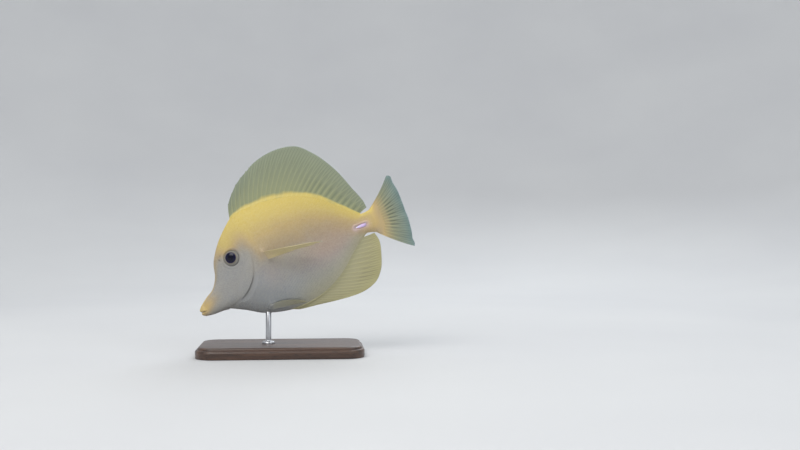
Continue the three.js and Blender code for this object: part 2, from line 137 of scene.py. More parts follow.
def make_tube(name, rings, **marks):
    """A closed mesh over a row of closed rings of points, each end filled by a fan to its mean."""
    rows, around = rings.shape[:2]
    index = np.arange(rows * around).reshape(rows, around)
    index = np.concatenate([index, index[:, :1]], 1)
    first, last = (np.full(around, rows * around + k) for k in range(2))
    fans = [
        np.stack([index[0, :-1], index[0, 1:], first], -1),
        np.stack([index[-1, 1:], index[-1, :-1], last], -1),
    ]
    points = np.concatenate([rings.reshape(-1, 3), rings[[0, -1]].mean(1)])
    ends = {key: np.concatenate([grid.ravel(), grid[[0, -1]].mean(1)]) for key, grid in marks.items()}
    return make_mesh(name, points, [squares(index), *fans], **ends)


def make_sheet(name, front, back, **marks):
    """A closed mesh over two grids that lie face to face, joined all round by their edges."""
    rings = np.concatenate([front, back[:, ::-1]], 1)
    rows, around = rings.shape[:2]
    index = np.arange(rows * around).reshape(rows, around)
    wrapped = np.concatenate([index, index[:, :1]], 1)
    half = around // 2
    ends = [np.stack([ring[:half], ring[:half - 1:-1]], 0) for ring in (index[0, ::-1], index[-1])]
    points = rings.reshape(-1, 3)
    both = {key: np.concatenate([grid, grid[:, ::-1]], 1).ravel() for key, grid in marks.items()}
    return make_mesh(name, points, [squares(wrapped), *(squares(end) for end in ends)], **both)


def settle(piece, slot, *nodes):
    """Hangs a piece on the frame's one body and hides the solids that it stands for. The slot is not used."""
    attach(piece, "root")
    if nodes:
        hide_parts(*nodes)
    return piece


# %% [markdown]
# The body is a row of cross-sections, each a curve from belly to back in the side view. On a fish
# so thin from side to side, three side-view points and one half-width fix a section well. Between
# sections the numbers follow a spline, so twenty rows of the table give the whole outline.

# %% The body's sections
STATIONS = np.array([  # back x, z, widest point x, z, belly x, z, half-width, in hundredths of length
    [0.4, -0.28, 2.8, -0.4, 0.6, -0.52, 2.3],  # mouth slit
    [0.0, 0.9, 2.6, -0.3, 0.5, -1.8, 2.7],  # lip crest
    [1.3, 2.6, 3.6, -0.2, 2.0, -2.9, 2.6],  # lip root
    [2.3, 3.5, 4.3, 0.0, 3.0, -3.1, 2.4],  # lip crease
    [5.6, 6.1, 6.2, 1.2, 6.1, -3.5, 2.9],  # snout
    [10.0, 9.1, 11.4, 2.7, 9.9, -3.5, 3.7],  # muzzle
    [13.3, 14.6, 16.9, 5.2, 11.8, -3.5, 4.8],  # cheek
    [15.5, 22.6, 23.3, 8.1, 13.0, -3.6, 5.8],  # brow
    [21.6, 31.9, 28.9, 10.3, 14.4, -3.8, 6.6],  # crown
    [30.4, 40.4, 34.1, 12.2, 15.9, -3.9, 7.2],  # gill edge
    [34.7, 42.5, 37.9, 13.1, 23.4, -7.6, 7.45],  # throat
    [39.9, 43.6, 41.8, 13.6, 31.5, -12.1, 7.6],  # shoulder
    [50.0, 44.1, 50.7, 14.0, 44.3, -15.2, 7.5],  # belly
    [59.3, 43.1, 59.8, 14.2, 56.2, -15.2, 6.9],  # vent
    [69.0, 40.7, 68.6, 14.4, 67.0, -12.4, 6.0],  # flank
    [78.6, 35.9, 76.8, 14.6, 77.2, -6.7, 5.0],  # rear
    [87.4, 27.9, 84.0, 14.7, 87.0, 1.9, 4.0],  # tail slope
    [95.2, 20.7, 90.0, 14.7, 95.0, 8.4, 3.3],  # tail root
    [98.2, 19.8, 95.8, 14.6, 98.0, 8.8, 2.5],  # peduncle
    [100.9, 20.2, 101.8, 14.4, 100.7, 8.0, 1.8],  # flesh end
]) * PERCENT
LIP_CREASE, GILL_EDGE, FLESH_END = 3, 9, 19
HALF_EDGE = 0.8 * PERCENT


def smoothstep(x, low, high):
    """0 below low, 1 above high, and the cubic 3f^2 - 2f^3 of the fraction f between them."""
    f = np.clip((x - low) / (high - low), 0, 1)
    return f * f * (3 - 2 * f)


def spline(values, place):
    """Catmull-Rom spline through evenly spaced numbers, read at an array of fractional places."""
    last = len(values) - 1
    i = np.clip(np.floor(place).astype(int), 0, last - 1)
    f = place - i
    a, b, c, d = (values[np.clip(i + k, 0, last)] for k in (-1, 0, 1, 2))
    return b + 0.5 * f * (c - a + f * (2 * a - 5 * b + 4 * c - d + f * (3 * (b - c) + d - a)))


def profile(s, t):
    """Side-view x and z at station s and height t, -1 belly to 1 back: a parabola through 3 points."""
    back_x, back_z, side_x, side_z, belly_x, belly_z = (spline(STATIONS[:, k], s) for k in range(6))
    x = side_x + t * (back_x - belly_x) / 2 + t * t * ((back_x + belly_x) / 2 - side_x)
    z = side_z + t * (back_z - belly_z) / 2 + t * t * ((back_z + belly_z) / 2 - side_z)
    return x, z


def half_width(s, t):
    """Half-width: a rounded ridge at back and belly plus a swell (1 - |t|^2.4)^q between them."""
    half = spline(STATIONS[:, 6], s)
    edge = np.minimum(HALF_EDGE, half * 0.4)
    t = np.abs(t)
    swell = 0.5 + 0.2 * smoothstep(s, LIP_CREASE, GILL_EDGE)
    swell = swell + 0.3 * smoothstep(s, 10.5, 12.5) * smoothstep(t, 0.5, 0.9)
    return edge * np.sqrt(np.clip(1 - t**14, 0, 1)) + (half - edge) * np.clip(1 - t**2.4, 0, 1) ** swell


print("body length, mm:", round(float(profile(np.array(19.0), np.array(0.0))[0]), 1))

# %% [markdown]
# Fine relief is laid on that smooth form as heights in millimetres, each a formula in the fish's own
# side-view place: the raised rim and sunken socket of the eye, two nostrils, the slit between the
# lips, the plate of the gill cover with its free edge, the lateral line, and the low swellings that
# the fins and the tail spine grow from. Heights are easier to judge and change than moved vertices.

# %% Relief of the head
EYE = {"x": 34.2, "z": 28.6, "radius": 5.7}
NOSTRILS = [(25.4, 30.0, 0.75), (26.9, 32.6, 0.55)]
MOUTH = {"z": -0.54, "corner": 5.2}


def ridge(distance, width):
    """A smooth ridge of height 1 at distance 0: exp(-(distance / width)^2)."""
    return np.exp(-((distance / width) ** 2))


def eye_place(x, z):
    """Distance from the eye's centre, and the angle off the way up and back from it, -pi to pi."""
    right, up = x - EYE["x"], z - EYE["z"]
    turn = np.arctan2(up, right) - math.radians(50)
    return np.hypot(right, up), np.angle(np.exp(1j * turn))


def eye_relief(x, z):
    """A rim raised round the eye, a socket sunk inside it and a crease above and behind."""
    r, turn = eye_place(x, z)
    rim = 0.35 * ridge(r - 6.6, 0.8)
    socket = -2.2 * (1 - smoothstep(r, 4.4, 5.9))
    crease = -0.3 * ridge(r - 7.6, 0.4) * ridge(turn, 0.9)
    return rim + socket + crease


def nostril_relief(x, z):
    """Two pits, each with a low rim."""
    height = 0
    for pit_x, pit_z, radius in NOSTRILS:
        r = np.hypot(x - pit_x, z - pit_z)
        height = height - 0.8 * ridge(r, 0.7 * radius) + 0.18 * ridge(r - 1.5 * radius, 0.5 * radius)
    return height


def mouth_relief(x, z):
    """A slit between the lips that fades out at the corner of the mouth."""
    return -0.55 * ridge(z - MOUTH["z"], 0.26) * (1 - smoothstep(x, MOUTH["corner"] - 1, MOUTH["corner"]))


rim_and_socket = eye_relief(EYE["x"] + np.array([6.6, 0]), EYE["z"])
print("height of the eye's rim and of its socket, mm:", rim_and_socket.round(2))

# %% [markdown]
# The gill cover is a thin plate whose free rear edge stands over a sunken slit, the sharp dark
# crease behind the cheek. Its front edge is only a soft groove. Both follow one curve, station 9 of
# the body, so the plate is measured by how far ahead of that curve a point lies.

# %% Relief of the gill cover
GILL = {"low": -0.74, "high": 0.27, "horn": 2.4, "width": 7.4, "slant": 0.25}
edge_t = np.linspace(-0.98, 0.7, 400)
edge_x, edge_z = profile(np.full(400, float(GILL_EDGE)), edge_t)


def gill_place(x, z):
    """How far a point lies ahead of the gill edge, and where along the edge, 0 at its foot to 1."""
    t = np.interp(z + GILL["slant"] * x, edge_z + GILL["slant"] * edge_x, edge_t)
    ahead = np.interp(t, edge_t, edge_x) - x
    return ahead, (t - GILL["low"]) / (GILL["high"] - GILL["low"])


def gill_window(t):
    """Strength of the gill slit along its edge: 1 below the cheek, less above, 0 past both ends."""
    lower_end, upper_end = smoothstep(t, -0.82, -0.6), 1 - smoothstep(t, 0.1, 0.4)
    return lower_end * (1 - 0.8 * smoothstep(t, -0.35, -0.05)) * upper_end


def gill_relief(x, z, s, t):
    """A plate raised ahead of the edge, a drop behind it that heals, and a groove at its front."""
    ahead, along = gill_place(x, z)
    reach = GILL["horn"] + GILL["width"] * np.sin(np.pi * np.clip(along, 0, 1)) ** 0.8
    inside = smoothstep(along, -0.05, 0.1) * (1 - smoothstep(along, 0.9, 1.1))
    plate = 0.3 * (1 - smoothstep(ahead, reach - 4.5, reach)) * inside
    groove = -0.07 * ridge(ahead - reach, 0.6) * inside
    front = np.where(s <= GILL_EDGE, plate + groove, 0)
    behind = -0.8 * np.exp(-2 * np.maximum(s - GILL_EDGE, 0)) * gill_window(t)
    return np.where(s > GILL_EDGE, behind, front)


print("height of the gill edge, mm:", round(float(np.ptp(edge_z)), 1))

# %% [markdown]
# Behind the head the skin is smooth. The lateral line runs as a fine groove of pores from above the
# gill to the tail, arched like the back. The pectoral and pelvic fins rise from low muscled swellings,
# and the tail spine folds into a lipped sheath.

# %% Relief of the flank
PECTORAL_ROOT = ((56.4, 25.4), (58.6, 19.2))
PELVIC_ROOT = ((47.5, -14.6), (49.7, -11.6))
SPINE = {"tip": (124.2, 18.6), "root": (132.2, 18.8)}


def distance_to(x, z, start, end):
    """Side-view distance from a point to a straight stretch."""
    (ax, az), (bx, bz) = start, end
    along = ((x - ax) * (bx - ax) + (z - az) * (bz - az)) / ((bx - ax) ** 2 + (bz - az) ** 2)
    along = np.clip(along, 0, 1)
    return np.hypot(x - ax - along * (bx - ax), z - az - along * (bz - az))


def lateral_line(s):
    """Height t of the lateral line at a station: it arches with the back, then drops to the tail."""
    return np.interp(s, [9, 10.5, 12.5, 14.5, 16.5, 18, 19], [0.36, 0.5, 0.53, 0.44, 0.27, 0.1, 0.05])


def line_distance(s, t):
    """Distance in millimetres from the lateral line, measured up the section."""
    tall = (spline(STATIONS[:, 1], s) - spline(STATIONS[:, 5], s)) / 2
    return (t - lateral_line(s)) * tall


def swellings(x, z):
    """Low rises under the paired fins: a broad one at each root, and a narrow one at the pectoral's."""
    pectoral = distance_to(x, z, *PECTORAL_ROOT)
    pelvic = distance_to(x, z, *PELVIC_ROOT)
    return ridge(pectoral, 3.2) + 0.8 * ridge(pectoral, 1.5) + 0.6 * ridge(pelvic, 2.2)


def flank_relief(x, z, s, t):
    """The lateral line's groove, the fins' swellings and the sheath of the tail spine."""
    line = -0.07 * ridge(line_distance(s, t), 0.4) * smoothstep(s, 9.3, 9.8) * (1 - smoothstep(s, 17, 18))
    sheath = distance_to(x, z, SPINE["tip"], SPINE["root"])
    groove = 0.25 * ridge(sheath - 2.0, 0.6) - 0.75 * ridge(sheath, 1.1)
    return line + swellings(x, z) + groove


print("length of the tail spine, mm:", round(math.dist(SPINE["tip"], SPINE["root"]), 1))

# %% [markdown]
# Markings are numbers on the same points, so the skin and the scales over it always agree. Warmth
# runs from the blue-grey throat and belly through tan flanks to the yellow of the back; the blue-grey
# is partly a painted cast of cool light. The face is grey-lilac with a yellow patch over the eye, and
# the snout's ridge and the tail's root are yellow. The shade mark dulls the face and paints shade into
# creases and pits.

# %% Markings of the skin
def patch(x, z, centre_x, centre_z, wide, tall, lean=0):
    """A soft oval spot of strength 1, its long axis leaning by so many degrees."""
    cos, sin = math.cos(math.radians(lean)), math.sin(math.radians(lean))
    along = (x - centre_x) * cos + (z - centre_z) * sin
    across = (z - centre_z) * cos - (x - centre_x) * sin
    return np.exp(-((along / wide) ** 2) - (across / tall) ** 2)


def warmth_of(x, z, s, t):
    """From 0, blue-grey, to 1, yellow, over the whole fish; the blue-grey is partly a painted cast of cool
    light.
    """
    heights = [-1, -0.76, -0.29, 0.05, 0.28, 0.44, 0.65, 0.88, 1]
    flank = np.interp(t, heights, [0.14, 0.06, 0.2, 0.36, 0.46, 0.55, 0.72, 0.97, 1.0])
    flank = flank - 0.14 * patch(x, z, 52, 9, 9, 8)
    tail = patch(x, z, 136, 19, 20, 13) * (1 - smoothstep(t, 0.3, 0.9))
    flank = flank + (0.62 - flank) * 0.95 * tail
    face = 0.2 + 0.22 * smoothstep(t, 0.8, 1)
    face = face + 0.44 * patch(x, z, 33, 38.5, 8, 6.2, 60)
    face = face + 0.28 * patch(x, z, 38, 50, 10, 10)
    face = face + 0.42 * patch(x, z, 4, 1.5, 10, 5, 30)
    head = 1 - smoothstep(s + 1.2 * np.clip(t, 0, 1), 8.4, 10.6)
    return np.clip(flank + (face - flank) * head, 0, 1)


def rose_of(x, z):
    """From 0 to 1, the pink of the rear flank and a faint pink spot behind the gill."""
    return patch(x, z, 102, 13, 24, 14, 10) + 0.4 * patch(x, z, 56, 9, 8, 9)


def webbed_of(s, t):
    """From 0 to 1, how near the skin lies to the anal fin, whose olive colour it takes on."""
    return smoothstep(s, 11.5, 13.5) * (1 - smoothstep(s, 16.6, 17.6)) * (1 - smoothstep(t, -1, -0.35))


def dull_face_and_shade_of(x, z, s, t):
    """From 0 to 1: a dull tone of the face's own, and painted shade in the eye's crease and socket, the
    nostril pits, the mouth's slit, the gill slit and the lateral line's pores.
    """
    r, turn = eye_place(x, z)
    dark = 0.65 * ridge(r - 6.7, 0.6) * ridge(turn, 0.8) + 0.2 * (1 - smoothstep(r, 5.0, 6.2))
    dark = dark + 0.2 * patch(x, z, 28, 24, 22, 30)
    for pit_x, pit_z, radius in NOSTRILS:
        dark = dark + 0.55 * ridge(np.hypot(x - pit_x, z - pit_z), 0.8 * radius)
    dark = dark + 0.7 * ridge(z - MOUTH["z"], 0.35) * (1 - smoothstep(x, 4.4, 5.4))
    slit = np.where(s > GILL_EDGE, np.exp(-6 * np.maximum(s - GILL_EDGE, 0)), ridge(s - GILL_EDGE, 0.06))
    dark = dark + 0.5 * slit * gill_window(t)
    pores = ridge(line_distance(s, t), 0.35) * smoothstep(s, 9.5, 10) * (1 - smoothstep(s, 17, 18))
    return np.clip(dark + 0.1 * pores, 0, 1)


def markings(x, z, s, t):
    """All markings of one place, by name, as the finishes read them."""
    marks = {"warmth": warmth_of(x, z, s, t), "shade": dull_face_and_shade_of(x, z, s, t), "rose": rose_of(x, z)}
    marks["webbed"] = webbed_of(s, t) + 0 * x
    marks["halo"] = ridge(distance_to(x, z, SPINE["tip"], SPINE["root"]), 2.6)
    return marks


print("warmth of back, middle and belly:", warmth_of(80, 20, 13, np.array([1, 0, -1])).round(2))

# %% [markdown]
# Now the skin itself: the left side is one grid from lips to tail, its relief is added along the
# surface's own normal, and its mirror image is the right side. The two share the points of back and
# belly. A last few rings narrow into the root of the tail fin, and the first is drawn in between the
# lips, so that the mesh closes where nobody looks.

# %% The skin
SKIN_HEIGHTS = 108
rows = [np.linspace(0, 3, 30, endpoint=False), np.linspace(3, 8.9, 150, endpoint=False),
        np.linspace(8.9, 9.1, 13, endpoint=False), np.linspace(9.1, 17, 150, endpoint=False),
        np.linspace(17, 19, 30)]
skin_s = np.concatenate(rows)
skin_t = np.sin(np.linspace(-np.pi / 2, np.pi / 2, SKIN_HEIGHTS + 1))


def surface_normals(points):
    """Unit normals of a grid on the fish's left, by the cross product of its two directions."""
    normal = np.cross(np.gradient(points, axis=0), np.gradient(points, axis=1))
    normal /= np.linalg.norm(normal, axis=-1, keepdims=True) + 1e-12
    return -normal if normal[..., 1].sum() > 0 else normal


def relief(s, t):
    """All relief at a station and height, in millimetres, fading out on the ridges of back and belly."""
    x, z = profile(s, t)
    height = eye_relief(x, z) + nostril_relief(x, z) + mouth_relief(x, z) * smoothstep(s, 0.5, 1.5)
    height = height + gill_relief(x, z, s, t) + flank_relief(x, z, s, t)
    return height * (1 - smoothstep(np.abs(t), 0.97, 1))


def flank(s, t):
    """A level point on the left side of the smooth form, before any relief."""
    s, t = np.broadcast_arrays(s, t)
    x, z = profile(s, t)
    return np.stack([x, -half_width(s, t), z], -1)


smooth_side = flank(skin_s[:, None], skin_t[None, :])
side = smooth_side + surface_normals(smooth_side) * relief(skin_s[:, None], skin_t[None, :])[..., None]
print("left side of the skin:", side.shape)

# %% [markdown]
# The fins' formulas come next, because the skin runs out a little way over the tail fin. Every fin is
# a fan of rays, and each number of a ray, such as its length or its lean, changes smoothly from the
# first ray to the last. One curve through a few named pairs describes each such change.

# %% Smooth changes along a fin
ROOT_GAP = 0.3


def along(pairs, x):
    """Cubic curve through (x, value) pairs, with the slope at each taken between its neighbours."""
    at, value = np.array(pairs, float).T
    last = len(at) - 1
    here = np.arange(last + 1)
    before, after = np.maximum(here - 1, 0), np.minimum(here + 1, last)
    slope = (value[after] - value[before]) / (at[after] - at[before])
    i = np.clip(np.searchsorted(at, x), 1, last)
    wide = at[i] - at[i - 1]
    f = (x - at[i - 1]) / wide
    low, high = value[i - 1], value[i]
    start, end = slope[i - 1] * wide, slope[i] * wide
    return low + f * (start + f * (3 * (high - low) - 2 * start - end + f * (2 * (low - high) + start + end)))


def upright_ray(a, r, foot, lean, length, bow):
    """Mid-plane rays: each an arc from its foot, with a lean above the x axis, a length and a bow."""
    x, z = foot(a)
    bend = np.radians(along(bow, a))
    start = np.radians(along(lean, a)) + bend / 2
    reach = along(length, a) / bend
    x = x + reach * (np.sin(start) - np.sin(start - bend * r))
    z = z + reach * (np.cos(start - bend * r) - np.cos(start))
    return np.stack([x, 0 * x, z], -1)


def ridge_foot(edge, first, last):
    """Where a fin stands on the ridge of the back (edge 1) or the belly (edge -1), by its share a."""
    dense = np.linspace(GILL_EDGE, FLESH_END, 4000)
    dense_x, dense_z = profile(dense, np.full(4000, float(edge)))
    step = np.stack([np.gradient(dense_x), np.gradient(dense_z)])
    step = step / np.hypot(*step)
    foot_x = dense_x - edge * ROOT_GAP * step[1]
    foot_z = dense_z + edge * ROOT_GAP * step[0]

    def foot(a):
        x = first + (last - first) * a
        return np.interp(x, dense_x, foot_x), np.interp(x, dense_x, foot_z)

    return foot


def tail_foot(a):
    """Where the tail fin's rays spring from, round the end of the flesh."""
    x, z = profile(np.full(np.shape(a), float(FLESH_END)), 1 - 2 * a)
    return x + 1.2 * ROOT_GAP, z


DORSAL = {
    "foot": ridge_foot(1, 42.2, 131),
    "lean": [(0, 76), (0.1, 71), (0.24, 63), (0.44, 50), (0.63, 38), (0.83, 27), (0.95, 27), (1, 22)],
    "length": [(0, 10), (0.08, 20.6), (0.24, 33.1), (0.41, 38.4), (0.54, 33.2), (0.68, 25.4), (0.83, 16.8),
               (0.95, 10.6), (1, 6.2)],
    "bow": [(0, 8), (0.4, 14), (1, 14)],
}
ANAL = {
    "foot": ridge_foot(-1, 63.4, 128.3),
    "lean": [(0, -22), (0.12, -16), (0.33, -14.5), (0.45, -12.3), (0.6, -10), (0.75, -5), (1, 1)],
    "length": [(0, 3.5), (0.1, 9), (0.2, 19.5), (0.32, 29), (0.45, 32.5), (0.6, 29.5), (0.75, 23.6),
               (0.88, 17), (1, 7.6)],
    "bow": [(0, -6), (0.4, -12), (1, -12)],
}
CAUDAL = {
    "foot": tail_foot,
    "lean": [(0, 43), (0.12, 34.5), (0.5, 0), (0.88, -33), (1, -40)],
    "length": [(0, 28.5), (0.06, 29.8), (0.14, 27.3), (0.5, 24), (0.88, 27.7), (0.95, 30), (1, 30.2)],
    "bow": [(0, -14), (0.5, -4), (1, -12)],
}
print("tallest dorsal ray, mm:", along(DORSAL["length"], np.linspace(0, 1, 201)).max().round(1))

# %% [markdown]
# The skin's last rings follow the tail fin's own rays outwards while they thin down to less than the
# web, so the flesh seems to run out between the rays, as it does in life. Its first rings sink back
# between the lips. The mirrored half then shares the points of back and belly with the first half.

# %% The skin in one piece
TAPER = {"rows": 18, "reach": 0.28, "end": 0.1, "warmth": 0.5}
MOUTH_DEPTH, MOUTH_SQUEEZE = 1.6, 0.6

out = np.linspace(0, 1, TAPER["rows"] + 1)[1:, None]
tail_share = np.broadcast_to((1 - skin_t) / 2, (TAPER["rows"], len(skin_t)))
tail_end = upright_ray(tail_share, TAPER["reach"] * out, **CAUDAL)
end_width = half_width(np.full(len(skin_t), float(FLESH_END)), skin_t)
tail_end[..., 1] = -end_width * (1 - (1 - TAPER["end"]) * smoothstep(out, 0, 1))
tail_x, tail_z = tail_end[..., 0], tail_end[..., 2]
tail_s = np.full(tail_x.shape, float(FLESH_END))

inward = np.linspace(1, 0.25, 4)[:, None, None]
mouth = side[:1] * np.array([1, 1, 1 - MOUTH_SQUEEZE]) + np.array([0, 0, MOUTH_SQUEEZE * MOUTH["z"]])
mouth = side[:1] + (mouth - side[:1]) * inward + np.array([MOUTH_DEPTH, 0, 0]) * inward

left = np.concatenate([mouth, side, tail_end])
side_s = skin_s[:, None] + 0 * skin_t
side_marks = markings(smooth_side[..., 0], smooth_side[..., 2], side_s, skin_t)
tail_marks = markings(tail_x, tail_z, tail_s, skin_t)
tail_marks = {key: grid * (1 - smoothstep(out, 0, 0.9)) for key, grid in tail_marks.items()}
tail_marks["warmth"] = tail_marks["warmth"] + TAPER["warmth"] * smoothstep(out, 0, 0.9)


def both_sides(grid):
    """A left-side grid followed by its mirror image, back down from the second-last point."""
    other = grid[:, -2:0:-1]
    return np.concatenate([grid, other * np.array([1, -1, 1]) if grid.ndim == 3 else other], 1)


marks = {}
for key, grid in side_marks.items():
    # The lips' rows get full shade: painted shade inside the mouth.
    lips = np.ones((4, len(skin_t))) if key == "shade" else grid[:1].repeat(4, 0)
    marks[key] = both_sides(np.concatenate([lips, grid, tail_marks[key]]))
skin = make_tube("skin", placed(both_sides(left)), **marks)
flesh_nodes = ["head", "torso", "tail", "upper_lip", "lower_lip", "gill_cover_left", "gill_cover_right"]
settle(skin, "skin", *flesh_nodes)

# %% [markdown]
# Things that sit on the flank, such as the eye, are placed by a side-view point. Newton's method finds
# the station and height that lie under it: each round divides the miss by the local slopes, and short
# steps keep it on the fish. The skin's direction there turns the piece to face outwards.

# %% Places on the flank
def locate(x, z, s=10.0, t=0.0):
    """Station and height of the skin at side-view places x, z."""
    x, z = np.broadcast_arrays(np.asarray(x, float), z)
    s, t, step = s + np.zeros(x.shape), t + np.zeros(x.shape), 0.001
    for _ in range(40):
        px, pz = profile(s, t)
        sx, sz = profile(s + step, t)
        tx, tz = profile(s, t + step)
        a, b, c, d = (sx - px) / step, (tx - px) / step, (sz - pz) / step, (tz - pz) / step
        area = a * d - b * c
        ds = (d * (x - px) - b * (z - pz)) / area
        dt = (a * (z - pz) - c * (x - px)) / area
        s = np.clip(s + np.clip(ds, -0.3, 0.3), 0.5, FLESH_END - 0.1)
        t = np.clip(t + np.clip(dt, -0.1, 0.1), -0.99, 0.99)
    return s, t


def outward(s, t, step=0.01):
    """Unit direction straight off the smooth left flank: the cross product of its two slopes."""
    ahead, up = flank(s + step, t) - flank(s - step, t), flank(s, t + step) - flank(s, t - step)
    normal = np.cross(ahead, up)
    normal /= np.linalg.norm(normal, axis=-1, keepdims=True)
    return np.where(normal[..., 1:2] > 0, -normal, normal)


def on_flank(x, z, s=10.0, t=0.0):
    """Point and outward direction of the smooth left flank at side-view places x, z."""
    s, t = locate(x, z, s, t)
    return flank(s, t), outward(s, t)


print("the eye's station and height:", np.round(locate(EYE["x"], EYE["z"], 8, 0.4), 2))

# %% [markdown]
# A tang's scales are tiny plates, rooted in front and free behind, that overlap like tiles and make
# the skin feel like velvet. Their roots lie on a staggered lattice in the side view, closer together
# on the head. The skin's own formulas give each root's place and slope, so the plates need no
# projecting, and every array below holds all the plates at once.

# %% Where the scales are rooted
HEAD_SCALES = {"pitch": 0.78, "row": 0.72, "from": 3.6, "to": 9.0, "seed": 11}
FLANK_SCALES = {"pitch": 1.06, "row": 0.98, "from": 9.0, "to": 18.85, "seed": 12}


def bare(x, z, s, t):
    """Where no scale grows: round the eye and nostrils, in the gill slit, at the spine and fin roots."""
    ahead, _ = gill_place(x, z)
    slit = (ahead > -0.5) & (ahead < 1.5) & (gill_window(t) > 0.02)
    eye = np.hypot(x - EYE["x"], z - EYE["z"]) < 7.3
    nostrils = np.any([np.hypot(x - nx, z - nz) < 1.5 * size + 0.5 for nx, nz, size in NOSTRILS], axis=0)
    roots = (distance_to(x, z, *PECTORAL_ROOT) < 2.0) | (distance_to(x, z, *PELVIC_ROOT) < 1.2)
    return slit | eye | nostrils | roots | (distance_to(x, z, SPINE["tip"], SPINE["root"]) < 2.7)


def scale_roots(pitch, row, seed, **span):
    """Stations and heights of scale roots: columns pitch apart, every second one half a row higher.

    Each place is moved a little at random and found on the skin by locate(), which tries a few starts.
    """
    draw = np.random.default_rng(seed)
    columns = np.arange(4, 140, pitch)
    x, z = np.meshgrid(columns, np.arange(-24, 62, row), indexing="ij")
    z = z + row / 2 * (np.arange(len(columns)) % 2)[:, None]
    x = (x + draw.normal(0, 0.05 * pitch, x.shape)).ravel()
    z = (z + draw.normal(0, 0.05 * row, z.shape)).ravel()
    middle_s = np.linspace(0.5, FLESH_END, 400)
    middle_x, middle_z = profile(middle_s, np.zeros(400))
    guess = np.interp(x, middle_x, middle_s)
    tall = (spline(STATIONS[:, 1], guess) - spline(STATIONS[:, 5], guess)) / 2
    height = np.clip((z - np.interp(x, middle_x, middle_z)) / tall, -0.95, 0.95)
    s, t = locate(x, z, guess, height)
    for start in [(9.3, -0.8), (10.5, -0.9), (9.3, 0.8), (6.5, 0.7)]:
        found_x, found_z = profile(s, t)
        again = locate(x, z, *start)
        missed = np.hypot(found_x - x, found_z - z) > 0.03
        s, t = np.where(missed, again[0], s), np.where(missed, again[1], t)
    found_x, found_z = profile(s, t)
    keep = (np.hypot(found_x - x, found_z - z) < 0.03) & (np.abs(t) < 0.982)
    keep &= (s > span["from"]) & (s <= span["to"]) & ~bare(x, z, s, t)
    return s[keep], t[keep]


print("scales on the head and flank, mm apart:", HEAD_SCALES["pitch"], FLANK_SCALES["pitch"])

# %% [markdown]
# One scale is a small dome: it dips into the skin in front and at its sides, and rises to a rounded
# free edge behind. Every plate has the same few points, laid out behind and beside its root. Dividing
# by the slopes of the skin turns those distances into stations and heights, so the plates bend with
# the body. Plates that would lie across a sharp step, such as the gill's edge, are left out.

# %% The scales
PLATE = {"length": 1.9, "width": 1.62, "rise": 0.085, "sunk": 0.07, "front": 0.35,
         "uneven": 0.12, "steep": 0.55, "largest": 3.2}
PATCH = 0.003


PLATE_U = np.array([0, 0.5, 0.95, 1.0])[:, None]
PLATE_V = np.array([-1, -0.72, 0, 0.72, 1])[None, :]


def plate_outline(pitch, row):
    """How far the points of a plate lie behind and beside its root: a tongue, widest at two thirds."""
    behind = PLATE["length"] * pitch * (PLATE_U * (1 - 0.36 * PLATE_V**2) - PLATE["front"])
    widening = 0.62 + 0.38 * np.sin(np.pi / 2 * np.minimum(1.5 * PLATE_U, 1))
    return behind, PLATE["width"] * row / 2 * PLATE_V * widening


def laid_on_skin(s, t, behind, beside, step=0.001):
    """Stations and heights of all plates' points: distances over the skin divided by its slopes."""
    along_s = (flank(s + step, t) - flank(s, t))[:, [0, 2]] / step
    along_t = (flank(s, t + step) - flank(s, t))[:, [0, 2]] / step
    aim = along_s / np.linalg.norm(along_s, axis=1, keepdims=True)
    dx = aim[:, :1, None] * behind - aim[:, 1:, None] * beside
    dz = aim[:, 1:, None] * behind + aim[:, :1, None] * beside
    area = (along_s[:, 0] * along_t[:, 1] - along_s[:, 1] * along_t[:, 0])[:, None, None]
    ds = (along_t[:, 1, None, None] * dx - along_t[:, 0, None, None] * dz) / area
    dt = (along_s[:, 0, None, None] * dz - along_s[:, 1, None, None] * dx) / area
    plate_s = np.clip(s[:, None, None] + ds, 0.5, FLESH_END - 0.02)
    return plate_s, np.clip(t[:, None, None] + dt, -0.985, 0.985)


